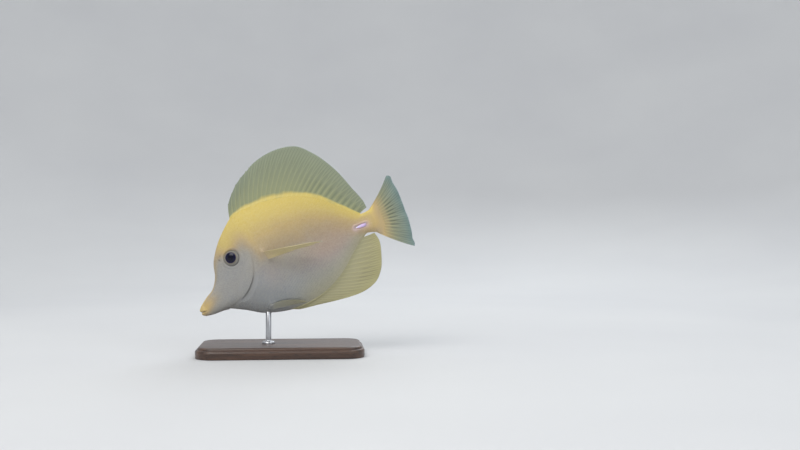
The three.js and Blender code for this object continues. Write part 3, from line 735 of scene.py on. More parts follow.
def scale_plates(name, lattice, mirror):
    """Plates on a lattice: 4 by 5 points each, domed across, rising to a rounded free edge behind."""
    s, t = scale_roots(**lattice)
    plate_s, plate_t = laid_on_skin(s, t, *plate_outline(lattice["pitch"], lattice["row"]))
    under = relief(plate_s, plate_t)
    plate_x, plate_z = profile(plate_s, plate_t)
    even = np.ptp(under - swellings(plate_x, plate_z), axis=(1, 2)) < PLATE["uneven"]
    even &= np.ptp(under, axis=(1, 2)) < PLATE["steep"]
    size = np.linalg.norm(np.ptp(flank(plate_s, plate_t), axis=(1, 2)), axis=-1)
    even &= size < PLATE["largest"] * lattice["pitch"]
    s, t, plate_s, plate_t, under = (grid[even] for grid in (s, t, plate_s, plate_t, under))
    rise = np.array([0, 0.5, 1, 0])[:, None] * np.array([0, 0.85, 1, 0.85, 0])[None, :]
    fade = 0.25 + 0.75 * (smoothstep(s, 3.6, 5) * (1 - smoothstep(s, 18, 18.85)))[:, None, None]
    lift = under - PLATE["sunk"] + (PLATE["rise"] * lattice["pitch"] * fade + PLATE["sunk"]) * rise
    points = flank(plate_s, plate_t) + outward(plate_s, plate_t) * lift[..., None]
    points = placed(points * np.array([1, mirror, 1])).reshape(-1, 3)

    corner = np.arange(20).reshape(4, 5)
    rim = np.concatenate([corner[0, :-1], corner[:-1, -1], corner[-1, :0:-1], corner[:0:-1, 0]])
    first = 20 * np.arange(len(s))[:, None]
    top = (squares(corner)[None] + first[..., None]).reshape(-1, 4)
    faces = [top, rim[None, :] + first]
    root_x, root_z = profile(s, t)
    draw = np.random.default_rng(lattice["seed"] + 50)
    marks = {**markings(root_x, root_z, s, t), "tone": draw.uniform(0, 1, len(s))}
    marks = {key: np.repeat(value, 20) for key, value in marks.items()}
    # The edge mark is each plate's rise, used for a painted highlight on the raised free edge.
    marks["edge"] = np.tile(rise.ravel(), len(s))
    patch_u = 0.02 + 0.96 * s[:, None] / FLESH_END + PATCH * (PLATE_U + 0 * PLATE_V - 0.5).ravel()
    patch_v = 0.02 + 0.48 * (t[:, None] + 1) + PATCH * (PLATE_V + 0 * PLATE_U).ravel() / 2
    bake = np.stack([patch_u.ravel(), patch_v.ravel()], -1)
    return settle(make_mesh(name, points, faces, bake, **marks), "skin")


scales = []
for side_name, mirror in SIDES:
    scales.append(scale_plates(f"scales_head_{side_name}", HEAD_SCALES, mirror))
    scales.append(scale_plates(f"scales_flank_{side_name}", FLANK_SCALES, mirror))

# %% [markdown]
# The eye is a flattened ball, turned to face out of its socket. Rings round its axis give a front
# that is a low dome with the clear bulge of the cornea, and a plain back inside the head. The dark
# pupil sits a little towards the snout and up, as the fish looks forward.

# %% The eyes
EYE_DEPTH, EYE_SINK = 3.1, 1.25
PUPIL_SHIFT = (-0.1, 0.4)

eye_at, eye_out = on_flank(EYE["x"], EYE["z"], 8, 0.4)
eye_rear = np.cross([0, 0, 1.0], eye_out)
eye_rear *= np.sign(eye_rear[0]) / np.linalg.norm(eye_rear)
eye_up = np.cross(eye_out, eye_rear)
eye_up *= np.sign(eye_up[2])

polar = np.linspace(0.02, np.pi - 0.02, 60)[:, None]
around = np.linspace(0, 2 * np.pi, 72, endpoint=False)[None, :]
radius = EYE["radius"] * np.sin(polar)
right, up = radius * np.cos(around), radius * np.sin(around)
pupil = np.hypot(right - PUPIL_SHIFT[0], up - PUPIL_SHIFT[1])
cornea = (0.3 * ridge(pupil, 3.4) - 0.12 * ridge(pupil - 4.6, 0.5)) * (polar < 1.4)
depth = EYE_DEPTH * np.sign(np.cos(polar)) * np.abs(np.cos(polar)) ** 0.75 + cornea
ball = eye_at + (depth[..., None] - EYE_SINK) * eye_out + right[..., None] * eye_rear + up[..., None] * eye_up
for name, mirror in SIDES:
    points = placed(ball * np.array([1, mirror, 1]))
    settle(make_tube(f"eyeball_{name}", points, pupil=pupil), "eye", f"eye_{name}")

# %% [markdown]
# A fin is a clear web stretched over bony rays. The front of the dorsal and anal fins has stiff
# unbranched spines, and every ray behind them splits twice on its way out, so that the margin is
# carried by four fine twigs a ray. Each fin is one closed sheet: its middle surface comes from the ray
# formulas, and its thickness rises over each ray and falls between them.

# %% Fins as sheets over rays
PER_RAY = 16
WEB, CREST, MARGIN = 0.13, 0.15, 0.05


def rays_and_web(a, r, rays, spines):
    """1 on a ray's crest and 0 between, with rays that split in two and again, and spines that don't."""
    place = a * (rays - 1)
    offset = np.abs(place - np.round(place))
    soft = smoothstep(np.round(place), spines - 0.6, spines - 0.4)
    first = 0.25 * smoothstep(r, 0.3, 0.85) * soft
    second = 0.125 * smoothstep(r, 0.6, 1.05) * soft
    twig = np.abs(np.abs(offset - first) - second)
    thick = np.where(soft > 0.5, 0.17 - 0.1 * r, 0.2 - 0.13 * r)
    return np.exp(-((twig / thick) ** 2)) + 0 * place


def fin_sheet(point, rays, spines=0, rows=64, root=(0.65, 2.0), inside=2.8, wave=0.5, lens=0.06,
              rise=(0, 3), seed=0):
    """Front and back of a fin with its marks: point(a, r) is its middle, a across and r outwards.

    The fleshy root adds root[0] * exp(-d / root[1]) to the half-thickness at d mm from the foot, which
    meets the skin's ridge at a low angle, and thins as an ellipse does at either end of the foot. The
    rays stand up out of it over the stretch rise, in mm.
    """
    draw = np.random.default_rng(seed)
    a = np.linspace(0, 1, (rays - 1) * PER_RAY + 1)[:, None]
    fray = draw.normal(0, 0.004, (rays, 1))[np.round(a[:, 0] * (rays - 1)).astype(int)]
    crest = rays_and_web(a, 1.0, rays, spines)
    stiff = 1 - smoothstep(a * (rays - 1), spines - 0.5, spines + 0.5)
    notch = (1 - crest) * (0.012 + 0.035 * stiff)
    reach = 1 - notch + fray * crest
    start = point(a, np.zeros_like(a))
    ray_length = np.linalg.norm(point(a, np.ones_like(a)) - start, axis=-1)
    f = np.linspace(0, 1, rows)[None, :]
    below = -inside / ray_length
    r = below + (reach - below) * (f ** 1.1)
    middle = point(a + 0 * r, r)
    outward = np.clip(r, 0, 1)
    ripple = np.sin(2 * np.pi * (2.3 * a + 0.35 * outward + 0.1 * seed))
    ripple = ripple + 0.6 * np.sin(2 * np.pi * (5.2 * a + seed))
    normal = surface_normals(middle)
    middle = middle + normal * (wave * ripple * outward**2)[..., None]
    crest = rays_and_web(a, outward, rays, spines)
    height = CREST * (1 - 0.7 * outward) * (1 + 0.5 * stiff) * crest * smoothstep(r * ray_length, *rise)
    from_end = np.clip(np.minimum(a, 1 - a) / lens, 0, 1)
    fleshy = root[0] * np.exp(-np.maximum(r * ray_length, -1.2) / root[1])
    fleshy = fleshy * (0.3 + 0.7 * np.sqrt(1 - (1 - from_end) ** 2))
    half = WEB + fleshy + height
    rim = smoothstep(outward / reach, 0.93, 1.0)
    half = half * (1 - rim) + MARGIN * rim
    place = a * (rays - 1) + 0 * r
    gap = 2 * np.abs(place - np.round(place))
    marks = {"ray": crest, "out": outward, "across": a + 0 * r, "gap": gap}
    return middle + normal * half[..., None], middle - normal * half[..., None], marks


def make_fin(name, node, front, back, marks, mirror=1):
    """One fin of the fish, mirrored to the right side if mirror is -1."""
    flip = np.array([1, mirror, 1])
    return settle(make_sheet(name, placed(front * flip), placed(back * flip), **marks), "fin", node)


# %% [markdown]
# The dorsal, anal and tail fins stand in the fish's middle plane. Each is the same sheet with its own
# rays: the dorsal has five spines and then soft rays, the anal three, and the tail none. The tail's
# root is longer, because the flesh of the body runs out over it.

# %% The fins in the mid-plane
def upright_fin(name, node, shape, *numbers, **settings):
    """A fin in the middle plane: the arcs of upright_ray, made a sheet by fin_sheet."""
    return make_fin(name, node, *fin_sheet(lambda a, r: upright_ray(a, r, **shape), *numbers, **settings))


fins = [
    upright_fin("fin_dorsal", "dorsal_fin", DORSAL, 29, 5, 70, wave=0.45, seed=1),
    upright_fin("fin_anal", "anal_fin", ANAL, 23, 3, 64, wave=0.4, seed=2),
    upright_fin("fin_tail", "caudal_fin", CAUDAL, 16, 0, 64, (0.8, 3.5), 1.4, seed=3),
]

# %% [markdown]
# The paired fins are fans too, but they stand off the flank. A pectoral ray leaves the skin straight
# and then sweeps back to its tip, a quadratic curve with three control points. The pelvic fin is
# folded back along the belly, so its rays follow the skin at a small distance.

# %% The paired fins
PECTORAL = {
    "length": [(0, 43), (0.2, 45), (0.5, 40), (0.8, 29), (1, 20)],
    "outward": [(0, 27), (0.5, 17), (1, 7)],
    "dip": math.radians(-5.5),
    "rise": 6,
}
PELVIC = {"x": 47.5, "z": -14.6, "length": 27, "width": 3, "spread": 2.6, "fall": -3.6, "lift": 0.9}


def pectoral_point(a, r):
    """Quadratic curve: (1-r)^2 foot + 2r(1-r) control + r^2 tip, the control straight off the skin."""
    a, r = np.broadcast_arrays(a, r)
    (top_x, top_z), (foot_x, foot_z) = PECTORAL_ROOT
    share = a[:, :1]
    x, z = top_x + (foot_x - top_x) * share, top_z + (foot_z - top_z) * share
    foot, normal = on_flank(x, z)
    foot = foot + ROOT_GAP * normal
    swing, reach = np.radians(along(PECTORAL["outward"], share)), along(PECTORAL["length"], share)
    middle = (top_z + foot_z) / 2
    tip = np.stack([
        foot[..., 0] + reach * np.cos(swing),
        foot[..., 1] - reach * np.sin(swing) - 2,
        middle + (foot[..., 2] - middle) * 0.35 + reach * math.sin(PECTORAL["dip"]),
    ], -1)
    r = r[..., None]
    return foot * (1 - r) ** 2 + (foot + normal * PECTORAL["rise"]) * 2 * r * (1 - r) + tip * r**2


def pelvic_point(a, r):
    """Rays laid along the belly, each over the skin by a lift that grows outwards."""
    a, r = np.broadcast_arrays(a, r)
    along_belly = np.clip(r, -0.05, 1)
    width = PELVIC["width"] + PELVIC["spread"] * np.sin(np.pi * np.clip(0.8 * along_belly, 0, 1))
    x = PELVIC["x"] + 2.2 * a + along_belly * (PELVIC["length"] - 7 * a)
    z = PELVIC["z"] + PELVIC["fall"] * along_belly + a * width * (1 - 0.35 * along_belly)
    foot, normal = on_flank(x, z, 11, -0.8)
    return foot + normal * (ROOT_GAP + 0.75 + PELVIC["lift"] * along_belly)[..., None]


pectoral = fin_sheet(pectoral_point, 15, 1, 56, (0.9, 2.8), 1.2, wave=0.35, lens=0.5, rise=(3, 14), seed=4)
pelvic = fin_sheet(pelvic_point, 6, 1, 56, (0.5, 2.2), 1.2, wave=0.1, lens=0.4, seed=5)
for name, mirror in SIDES:
    fins.append(make_fin(f"fin_pectoral_{name}", f"pectoral_fin_{name}", *pectoral, mirror))
    fins.append(make_fin(f"fin_pelvic_{name}", f"pelvic_fin_{name}", *pelvic, mirror))

# %% [markdown]
# The tail spine is a small bony blade, hinged at its rear and folded forward into its sheath. It is
# drawn as rings from the sharp tip to the root: each ring is an oval, sharper at its upper edge.

# %% The tail spines
SPINE_SIZE = {"height": 1.15, "thickness": 0.6, "tip_lift": 0.7, "root_lift": 0.1}

f = np.linspace(0, 1, 40)[:, None]
(tip_x, tip_z), (root_x, root_z) = SPINE["tip"], SPINE["root"]
spine_at, spine_out = on_flank(tip_x + (root_x - tip_x) * f[:, 0], np.full(40, 18.6), 18, 0.3)
lift = SPINE_SIZE["tip_lift"] + (SPINE_SIZE["root_lift"] - SPINE_SIZE["tip_lift"]) * f
size = 0.06 + 0.94 * np.sin(np.pi * np.minimum(f * 0.62 + 0.01, 0.6)) ** 0.8
turn = np.linspace(0, 2 * np.pi, 32, endpoint=False)[None, :]
blade_up = SPINE_SIZE["height"] * size * np.sin(turn) * (1 - 0.12 * np.cos(turn))
blade_out = SPINE_SIZE["thickness"] * size * np.cos(turn) * (1 - 0.45 * np.abs(np.sin(turn)) ** 3)
blade = spine_at[:, None] + spine_out[:, None] * (lift + blade_out)[..., None]
blade[..., 2] += blade_up
for name, mirror in SIDES:
    points = placed(blade * np.array([1, mirror, 1]))
    settle(make_tube(f"spine_{name}", points, back=f + 0 * turn), "spine", f"tail_spine_{name}")

# %% [markdown]
# The display stand is a dark wooden slab with a moulded edge, and a polished steel rod in a small
# collar that runs up into the breast. The slab carries one moulding profile round a rounded
# rectangle, as a router would cut it; the rod and collar are turned on a lathe.

# %% The stand
CORNER = 14
BASE_LOW, BASE_HIGH = (np.array(corner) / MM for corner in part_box("stand_base"))
ROD_X = 45
ROD = {"radius": 2, "collar": 4.5, "height": 1.6, "into": 2.2}


def rounded_rectangle(half_x, half_y, corner, count=40):
    """Points round a rectangle with quarter-circle corners, each corner's arc and then the next."""
    angle = np.linspace(0, np.pi / 2, count)
    arc = np.stack([np.cos(angle), np.sin(angle)], -1) * corner
    runs = []
    for quarter, (sign_x, sign_y) in enumerate([(1, 1), (-1, 1), (-1, -1), (1, -1)]):
        cos, sin = [(1, 0), (0, 1), (-1, 0), (0, -1)][quarter]
        turned_arc = np.stack([arc[:, 0] * cos - arc[:, 1] * sin, arc[:, 0] * sin + arc[:, 1] * cos], -1)
        runs.append(turned_arc + np.array([sign_x * (half_x - corner), sign_y * (half_y - corner)]))
    return np.concatenate(runs)


half_x, half_y = BASE_HIGH[0], BASE_HIGH[1]
quarter = np.linspace(0, np.pi / 2, 8)
moulding = np.concatenate([  # distance in from the edge, and height, from the underside's middle up
    [[30, 0], [1.2, 0], [0.7, 0.05]],
    np.stack([0.7 * (1 - np.sin(quarter)), 0.05 + 0.7 * (1 - np.cos(quarter))], -1),
    [[0, 1.5], [0, 4.2], [0, 4.9]],
    np.stack([0.15 + 1.0 * (1 - np.cos(quarter)), 5.0 + 1.0 * np.sin(quarter)], -1),
    [[1.45, 6.02], [1.6, 6.1]],
    np.stack([1.6 + 1.7 * (1 - np.cos(quarter)), 6.2 + 1.8 * np.sin(quarter)], -1),
    [[3.8, 8], [5, 8], [10, 8], [30, 8]],
])
moulding[:, 1] *= BASE_TOP / 8
rings = []
for inset, height in moulding:
    corner = max(CORNER - inset, 0.6)
    edge = rounded_rectangle(half_x - inset, half_y - inset, corner)
    rings.append(np.column_stack([edge, np.full(len(edge), height)]))
slab = make_tube("base_slab", np.array(rings) * MM)
settle(slab, "stand_base", "stand_base")

dense = np.linspace(GILL_EDGE, 17, 2000)
belly_s = np.interp(ROD_X, profile(dense, np.full(2000, -1.0))[0], dense)
breast = placed(np.array(profile(belly_s, -1.0))[[0, 0, 1]] * np.array([1, 0, 1])) / MM
r, c, h = ROD["radius"], ROD["collar"], ROD["height"]
foot, top = BASE_TOP, breast[2] + ROD["into"]
rod_profile = np.concatenate([
    [[c - 0.5, foot - 0.2], [c - 0.1, foot], [c, foot + 0.15], [c, foot + h - 0.7]],
    np.stack([c - 0.7 * (1 - np.cos(quarter)), foot + h - 0.7 + 0.7 * np.sin(quarter)], -1),
    np.stack([r + 0.9 - 0.9 * np.sin(quarter), foot + h + 0.9 - 0.9 * np.cos(quarter)], -1),
    [[r, foot + h + 2], [r, top - 0.4], [r - 0.4, top]],
])
turn = np.linspace(0, 2 * np.pi, 48, endpoint=False)
rod = np.stack([
    breast[0] + rod_profile[:, :1] * np.cos(turn),
    rod_profile[:, :1] * np.sin(turn),
    rod_profile[:, 1:] + 0 * turn,
], -1)
settle(make_tube("rod", rod * MM), "stand_rod", "stand_rod")

# %% [markdown]
# A finish is a small net of shader nodes. Writing it as arithmetic keeps it readable: one class wraps
# a node's output and turns + - * and ** into Math nodes, and one method adds any other node from its type,
# its settings and its inputs. Colours are written as they look on a screen and turned to linear light.

# %% Finishes as arithmetic
class Wire:
    """A node's output; sums, products and powers of wires and numbers add Math nodes."""

    def __init__(self, finish, socket):
        self.finish, self.socket = finish, socket

    def math(self, operation, a, b):
        """A Math node of one operation on two values."""
        return self.finish.node("Math", {"operation": operation}, {0: a, 1: b})

    def __add__(self, other):
        return self.math("ADD", self, other)

    def __radd__(self, other):
        return self.math("ADD", other, self)

    def __sub__(self, other):
        return self.math("SUBTRACT", self, other)

    def __rsub__(self, other):
        return self.math("SUBTRACT", other, self)

    def __mul__(self, other):
        return self.math("MULTIPLY", self, other)

    def __rmul__(self, other):
        return self.math("MULTIPLY", other, self)

    def __pow__(self, other):
        return self.math("POWER", self, other)


def colour(red, green, blue):
    """Screen red, green and blue from 0 to 255 as a linear colour: ((c + 0.055) / 1.055)^2.4."""
    shares = [c / 255 for c in (red, green, blue)]
    return (*[c / 12.92 if c <= 0.04045 else ((c + 0.055) / 1.055) ** 2.4 for c in shares], 1.0)


class Finish:
    """One material: its main shader, and methods that add nodes and read the piece's marks."""

    def __init__(self, name, **constants):
        self.material = bpy.data.materials.new(name)
        self.material.use_nodes = True
        self.tree = self.material.node_tree
        self.shader = self.tree.nodes["Principled BSDF"]
        for key, value in constants.items():
            self.shader.inputs[key.replace("_", " ")].default_value = value
        self.place = self.node("TexCoord", output="Object")

    def node(self, kind, settings=None, inputs=None, output=0):
        """A shader node: settings first, then values or wires on its sockets; returns one output."""
        node = self.tree.nodes.new("ShaderNode" + kind)
        for key, value in (settings or {}).items():
            if key == "stops":
                self.set_stops(node.color_ramp, value)
            else:
                setattr(node, key, value)
        for key, value in (inputs or {}).items():
            self.feed(node.inputs[key], value)
        return Wire(self, node.outputs[output])

    def feed(self, socket, value):
        """Links a wire to a socket, or sets a plain value on it."""
        if isinstance(value, Wire):
            self.tree.links.new(value.socket, socket)
        else:
            socket.default_value = value

    def set_stops(self, ramp, stops):
        """Fills a colour ramp with (place, colour) stops."""
        while len(ramp.elements) < len(stops):
            ramp.elements.new(1.0)
        for element, (place, value) in zip(ramp.elements, stops):
            element.position, element.color = place, value

    def mark(self, name):
        """A number kept on the piece's points."""
        return self.node("Attribute", {"attribute_name": name}, output="Fac")

    def noise(self, scale, detail=3.0, roughness=0.5, place=None):
        """Soft random pattern from 0 to 1, with about scale blobs to a metre."""
        settings = {"Vector": place or self.place, "Scale": scale, "Detail": detail, "Roughness": roughness}
        return self.node("TexNoise", None, settings)

    def ramp(self, value, *stops):
        """A number turned into a colour by (place, colour) stops."""
        return self.node("ValToRGB", {"stops": stops}, {"Fac": value}, "Color")

    def blend(self, share, a, b, how="MIX"):
        """Colour a shaded over to colour b by a share from 0 to 1."""
        return self.node("Mix", {"data_type": "RGBA", "blend_type": how}, {0: share, 6: a, 7: b}, 2)

    def span(self, value, low, high, to_low=0.0, to_high=1.0):
        """A number mapped smoothly from one span to another."""
        inputs = {"Value": value, "From Min": low, "From Max": high, "To Min": to_low, "To Max": to_high}
        return self.node("MapRange", {"interpolation_type": "SMOOTHSTEP"}, inputs)

    def bump(self, height, distance, strength=1.0):
        """Fine relief of so many metres for a height of 1."""
        inputs = {"Height": height, "Distance": distance, "Strength": strength}
        return self.node("Bump", None, inputs, "Normal")

    def wear(self, base, roughness, normal=None):
        """Feeds the main shader's colour, roughness and relief."""
        self.feed(self.shader.inputs["Base Color"], base)
        self.feed(self.shader.inputs["Roughness"], roughness)
        if normal:
            self.feed(self.shader.inputs["Normal"], normal)
        return self

    def on(self, *pieces):
        """Gives the finish to some pieces."""
        for piece in pieces:
            piece.data.materials.clear()
            piece.data.materials.append(self.material)
        print(f"{self.material.name}: {len(self.tree.nodes)} nodes, on {len(pieces)} pieces")


# %% [markdown]
# The skin here is not one yellow. The back is warm and bright, the flanks turn to tan and pink, and
# the throat and belly fade to a cool grey-lilac, partly a painted cast of cool light, with a yellow
# patch over the eye. The warmth mark picks a colour from a ramp and soft noise breaks it up. The
# scales read the same marks, and each plate is a shade of its own with a painted highlight on its
# raised free edge, so that the tiles show as if the light grazed them.

# %% Skin colours and skin finish
BACK_YELLOW = colour(215, 189, 86)
# Ramp of warmth, from the blue-grey belly, partly a painted cast of cool light, to the yellow back.
WARM_STOPS = [
    (0.0, colour(152, 159, 168)),
    (0.16, colour(144, 147, 152)),
    (0.3, colour(153, 147, 138)),
    (0.42, colour(171, 150, 118)),
    (0.56, colour(192, 164, 106)),
    (0.76, colour(206, 180, 94)),
    (1.0, BACK_YELLOW),
]
# Colour of the painted shade in creases and pits, also used to dull the face's own tone.
SHADE_AND_DULL_FACE_COLOUR = colour(58, 52, 66)
PINK, OLIVE, LILAC = colour(176, 138, 118), colour(168, 162, 128), colour(210, 188, 226)
PALE = colour(238, 230, 200)


def skin_colour(finish):
    """The skin's colour from its marks: a ramp of warmth, mottled, then pink, olive, the dull face and the
    painted shade of creases and pits.
    """
    mottle = finish.noise(90, 4) - 0.5
    fine = finish.noise(700, 3) - 0.5
    warm = finish.mark("warmth") + mottle * 0.12 + fine * 0.05
    base = finish.ramp(warm, *WARM_STOPS)
    base = finish.blend(finish.mark("rose") * 0.5, base, PINK)
    base = finish.blend(finish.mark("webbed") * 0.75, base, OLIVE)
    base = finish.blend(finish.mark("halo") * 0.45, base, LILAC)
    # Painted shade: the shade mark darkens the creases, pits and eye socket, and dulls the face.
    return finish.blend(finish.mark("shade") * 0.85, base, SHADE_AND_DULL_FACE_COLOUR)


SATIN = {"Subsurface_Weight": 0.12, "Subsurface_Scale": 0.002, "Subsurface_Radius": (0.8, 0.8, 0.8),
         "Specular_IOR_Level": 0.35}
skin_finish = Finish("tang_skin", **SATIN)
grain = skin_finish.noise(2600, 3)
rough = 0.45 + skin_finish.noise(400, 2) * 0.2
veiled = skin_finish.blend(0.1, skin_colour(skin_finish), PALE)
skin_finish.wear(veiled, rough, skin_finish.bump(grain, 0.00005, 0.7)).on(skin)

scale_finish = Finish("tang_scales", **SATIN)
tinted = scale_finish.blend(scale_finish.mark("tone") * 0.1, skin_colour(scale_finish), PALE)
# Painted highlight: each plate turns paler towards its raised free edge.
edge_highlit = scale_finish.blend(scale_finish.mark("edge") * 0.1, tinted, PALE)
grain = scale_finish.noise(3200, 3)
scale_finish.wear(edge_highlit, 0.4 + grain * 0.15, scale_finish.bump(grain, 0.00003, 0.6)).on(*scales)

# %% [markdown]
# Between the rays a fin is thin and lets light through; over the rays it is solid and a little paler.
# The web takes the skin's colour at the root and turns greyer and greener outwards. Where the web
# folds between the rays, painted shade runs out along them as dark streaks: each fin has its own zone of
# these.

# %% Fin finish
def fin_finish(name, root, middle, margin, streak, clear=0.14, fade=(0.03, 0.14)):
    """Root, middle and margin colours, streaks, how clear the web is, and where the root fades out.

    Streaks of painted shade in the web's folds are a zone outwards, from low to high, a zone across, from
    first to last, and a strength.
    """
    finish = Finish(name, **SATIN)
    out, ray, across, gap = (finish.mark(key) for key in ("out", "ray", "across", "gap"))
    cloud = finish.noise(120, 4) - 0.5
    reach = out + cloud * 0.15
    web = finish.ramp(reach, (0.0, root), (fade[0], root), (fade[1], middle), (1.0, margin))
    pale = finish.blend(0.1, web, colour(232, 222, 160))
    base = finish.blend(finish.span(ray, 0.2, 0.9) * (1 - 0.5 * finish.span(out, 0.3, 0.6)), web, pale)
    low, high, first, last, strength = streak
    band = finish.span(out, low, low + 0.08) * (1 - finish.span(out, high - 0.2, high))
    where = finish.span(across, first, first + 0.2) * (1 - finish.span(across, last - 0.15, last))
    # Painted shade: dark streaks midway between the rays, where the web folds.
    dark = finish.span(gap, 0.5, 0.9) * band * where * strength
    base = finish.blend(dark, base, colour(78, 88, 70))
    # Painted rim of pale cool backlight along the fin's outer margin.
    edge = finish.span(out, 0.975, 1.0)
    base = finish.blend(edge * 0.4, base, colour(186, 196, 206))
    place = finish.node("CombineXYZ", None, {0: out, 1: across * 0.2})
    bands = {"wave_type": "BANDS", "bands_direction": "X"}
    joints = finish.node("TexWave", bands, {"Vector": place, "Scale": 18.0})
    relief = finish.bump(joints * ray * 0.5 + finish.noise(900, 3) * 0.5, 0.00006)
    finish.wear(base, 0.42 + cloud * 0.2, relief)
    thin = finish.span(out, 0.1, 0.6) * (1 - finish.span(ray, 0.1, 0.8))
    finish.feed(finish.shader.inputs["Alpha"], 1 - thin * clear)
    return finish


fin_finish("tang_fin_back", colour(206, 186, 104), colour(144, 149, 116), colour(134, 143, 122),
           (0.03, 0.55, 0.48, 1.1, 0.35), 0.14, (0.0, 0.08)).on(fins[0])
fin_finish("tang_fin_belly", colour(166, 161, 128), colour(166, 161, 128), colour(166, 160, 116),
           (0.45, 0.95, 0.35, 0.75, 0.22), 0.1).on(fins[1])
fin_finish("tang_fin_tail", colour(187, 164, 118), colour(144, 146, 118), colour(104, 130, 130),
           (0.4, 0.8, 0.1, 0.85, 0.6), 0.14, (0.24, 0.5)).on(fins[2])
fin_finish("tang_fin_side", colour(178, 160, 132), colour(203, 187, 142), colour(203, 190, 148),
           (0.1, 0.9, 0.0, 1.1, 0.08), 0.1, (0.05, 0.5)).on(fins[3], fins[5])
fin_finish("tang_fin_breast", colour(146, 148, 148), colour(148, 148, 138), colour(158, 154, 128),
           (0.1, 0.9, 0.0, 1.1, 0.1), 0.1).on(fins[4], fins[6])

# %% [markdown]
# The eye is wet: a black-blue pupil with a thin dull gold line round it, then an iris in the colours
# of the face. The shader's gloss gives the cornea its sharp highlight.

# %% Eye and spine finishes
eye_finish = Finish("tang_eye", Coat_Weight=0.12, Coat_Roughness=0.03, Specular_IOR_Level=0.2)
fibres = eye_finish.noise(2200, 4)
from_pupil = (eye_finish.mark("pupil") + (fibres - 0.5) * 0.3) * 0.125
iris = eye_finish.ramp(
    from_pupil, (0.0, colour(8, 8, 24)), (0.42, colour(12, 12, 40)), (0.47, colour(30, 28, 74)),
    (0.49, colour(84, 76, 78)), (0.52, colour(130, 121, 103)), (0.57, colour(131, 127, 118)),
    (0.72, colour(124, 122, 120)),
)
eye_finish.wear(eye_finish.blend(0.2, iris, fibres, "OVERLAY"), 0.08 + fibres * 0.08)
eye_finish.on(bpy.data.objects["eyeball_left"], bpy.data.objects["eyeball_right"])

spine_finish = Finish("tang_spine", Coat_Weight=0.5, Coat_Roughness=0.15, Subsurface_Weight=0.3,
                      Subsurface_Scale=0.001)
bone = [(0.0, colour(236, 228, 250)), (0.7, colour(212, 190, 234)), (1.0, colour(186, 164, 190))]
horn = spine_finish.ramp(spine_finish.mark("back"), *bone)
grain = spine_finish.noise(1800, 4)
spine_finish.wear(spine_finish.blend(0.15, horn, grain, "OVERLAY"), 0.25 + grain * 0.15,
                  spine_finish.bump(grain, 0.00004))
spine_finish.on(bpy.data.objects["spine_left"], bpy.data.objects["spine_right"])

# %% [markdown]
# Dark stained wood has long rings cut by the board's faces. Stretching the place along the slab
# before the noise reads it makes streaks; two sizes of them are enough for grain and pores.

# %% Stand finishes
wood = Finish("dark_wood", Coat_Weight=0.35, Coat_Roughness=0.2)
stretched = wood.node("Mapping", None, {"Vector": wood.place, "Scale": (0.08, 1.0, 1.0)})
rings = wood.noise(160, 5, 0.6, stretched)
pores = wood.noise(1400, 2, 0.5, stretched)
stain = [(0.3, colour(44, 30, 24)), (0.5, colour(70, 48, 36)), (0.7, colour(96, 68, 50))]
grain = wood.ramp(rings, *stain)
grain = wood.blend(wood.span(pores, 0.55, 0.7) * 0.6, grain, colour(30, 20, 16))
wood.wear(grain, 0.35 + pores * 0.2, wood.bump(rings + pores * 0.6, 0.0001)).on(slab)

steel = Finish("brushed_steel", Metallic=1.0)
brushed = steel.node("Mapping", None, {"Vector": steel.place, "Scale": (1.0, 1.0, 0.06)})
lines = steel.noise(3000, 3, 0.6, brushed)
steel.wear(steel.ramp(lines, (0.3, colour(168, 170, 174)), (0.7, colour(206, 207, 210))), 0.2 + lines * 0.2,
           steel.bump(lines, 0.00002)).on(bpy.data.objects["rod"])

# %% [markdown]
# The studio is a wide shallow bowl: a flat pale floor that curves up all round to a wall, so no
# horizon line crosses the picture from any side. Large soft lights stand above and in front, one
# weaker fill stands on the right, and a cool one behind rims the fins.

# %% Floor and light
BOWL = {"floor": 0.7, "curve": 1.7}

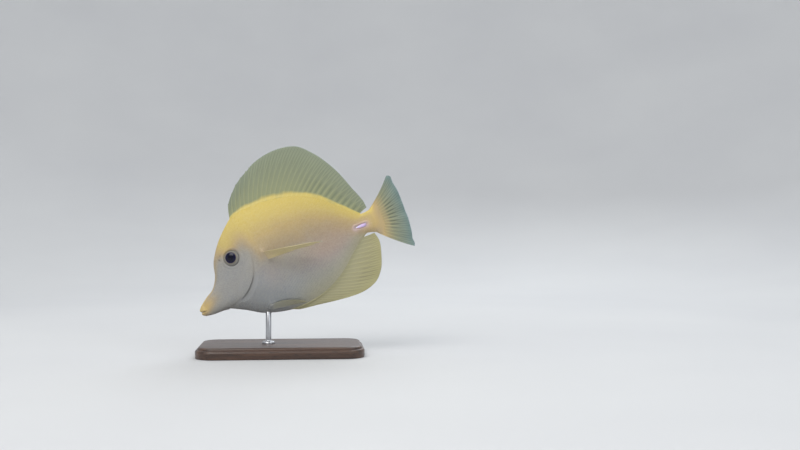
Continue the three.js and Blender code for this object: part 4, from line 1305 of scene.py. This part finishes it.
bend = np.linspace(0, np.pi / 2, 24)
outline = np.concatenate([
    [[0.02, 0], [0.3, 0]],
    np.stack([BOWL["floor"] + BOWL["curve"] * np.sin(bend), BOWL["curve"] * (1 - np.cos(bend))], -1),
    [[BOWL["floor"] + BOWL["curve"], 2.2]],
])
turn = np.linspace(0, 2 * np.pi, 96, endpoint=False)
far, tall = outline[:, :1], outline[:, 1:] + 0 * turn
inner = np.stack([far * np.cos(turn), far * np.sin(turn), tall], -1)
under = np.stack([1.02 * inner[..., 0], 1.02 * inner[..., 1], tall - 0.02 * (tall < 2)], -1)
studio = make_tube("studio_bowl", np.concatenate([inner, under[::-1]]))
paper = Finish("studio_paper")
cloud = paper.noise(3, 3)
paper.wear(paper.ramp(cloud, (0.3, colour(200, 201, 203)), (0.7, colour(206, 207, 208))), 0.75 + cloud * 0.1,
           paper.bump(paper.noise(900, 2), 0.00005))
paper.on(studio)


def soft_light(name, place, aim, width, power, tint):
    """A square area light of a width in metres that faces a point."""
    lamp = bpy.data.lights.new(name, "AREA")
    lamp.size, lamp.energy, lamp.color = width, power, tint
    light = bpy.data.objects.new(name, lamp)
    light.visible_camera = False
    light.location = place
    light.rotation_euler = (Vector(aim) - Vector(place)).to_track_quat("-Z", "Y").to_euler()
    bpy.context.scene.collection.objects.link(light)
    print(f"{name} light: {power} W")


middle = (0.015, 0, 0.09)
soft_light("key", (-0.45, -0.75, 0.95), middle, 0.7, 6.5, (1.0, 0.975, 0.94))
soft_light("fill", (0.8, -0.7, 0.62), middle, 0.6, 1.7, (0.92, 0.96, 1.0))
soft_light("rim", (0.35, 0.8, 0.8), middle, 0.6, 3.5, (0.93, 0.97, 1.0))

world = bpy.data.worlds.new("studio")
world.use_nodes = True
world.node_tree.nodes["Background"].inputs["Color"].default_value = (0.96, 0.98, 1.0, 1)
world.node_tree.nodes["Background"].inputs["Strength"].default_value = 1.05
bpy.context.scene.world = world

# %% [markdown]
# The photograph looks straight at the fish's left side from about five body lengths away, with the
# fish left of the middle. So the camera stands square to the fish and is turned to the right by the
# angle that puts the fish there; nothing is shifted.

# %% Camera
IMAGE_WIDTH = 800
FOCAL_PIXELS = 1039
CAMERA = {"place": (0.01875, -0.75, 0.0927), "turn": math.radians(5.1)}

lens = bpy.data.cameras.new("camera")
lens.sensor_width = 36
lens.lens = lens.sensor_width * FOCAL_PIXELS / IMAGE_WIDTH
lens.clip_start = 0.01
camera = bpy.data.objects.new("camera", lens)
camera.location = CAMERA["place"]
camera.rotation_euler = (math.pi / 2, 0, -CAMERA["turn"])
bpy.context.scene.collection.objects.link(camera)
bpy.context.scene.camera = camera
bpy.context.scene.view_settings.view_transform = "Standard"
print("focal length of the camera, mm:", round(lens.lens, 1))
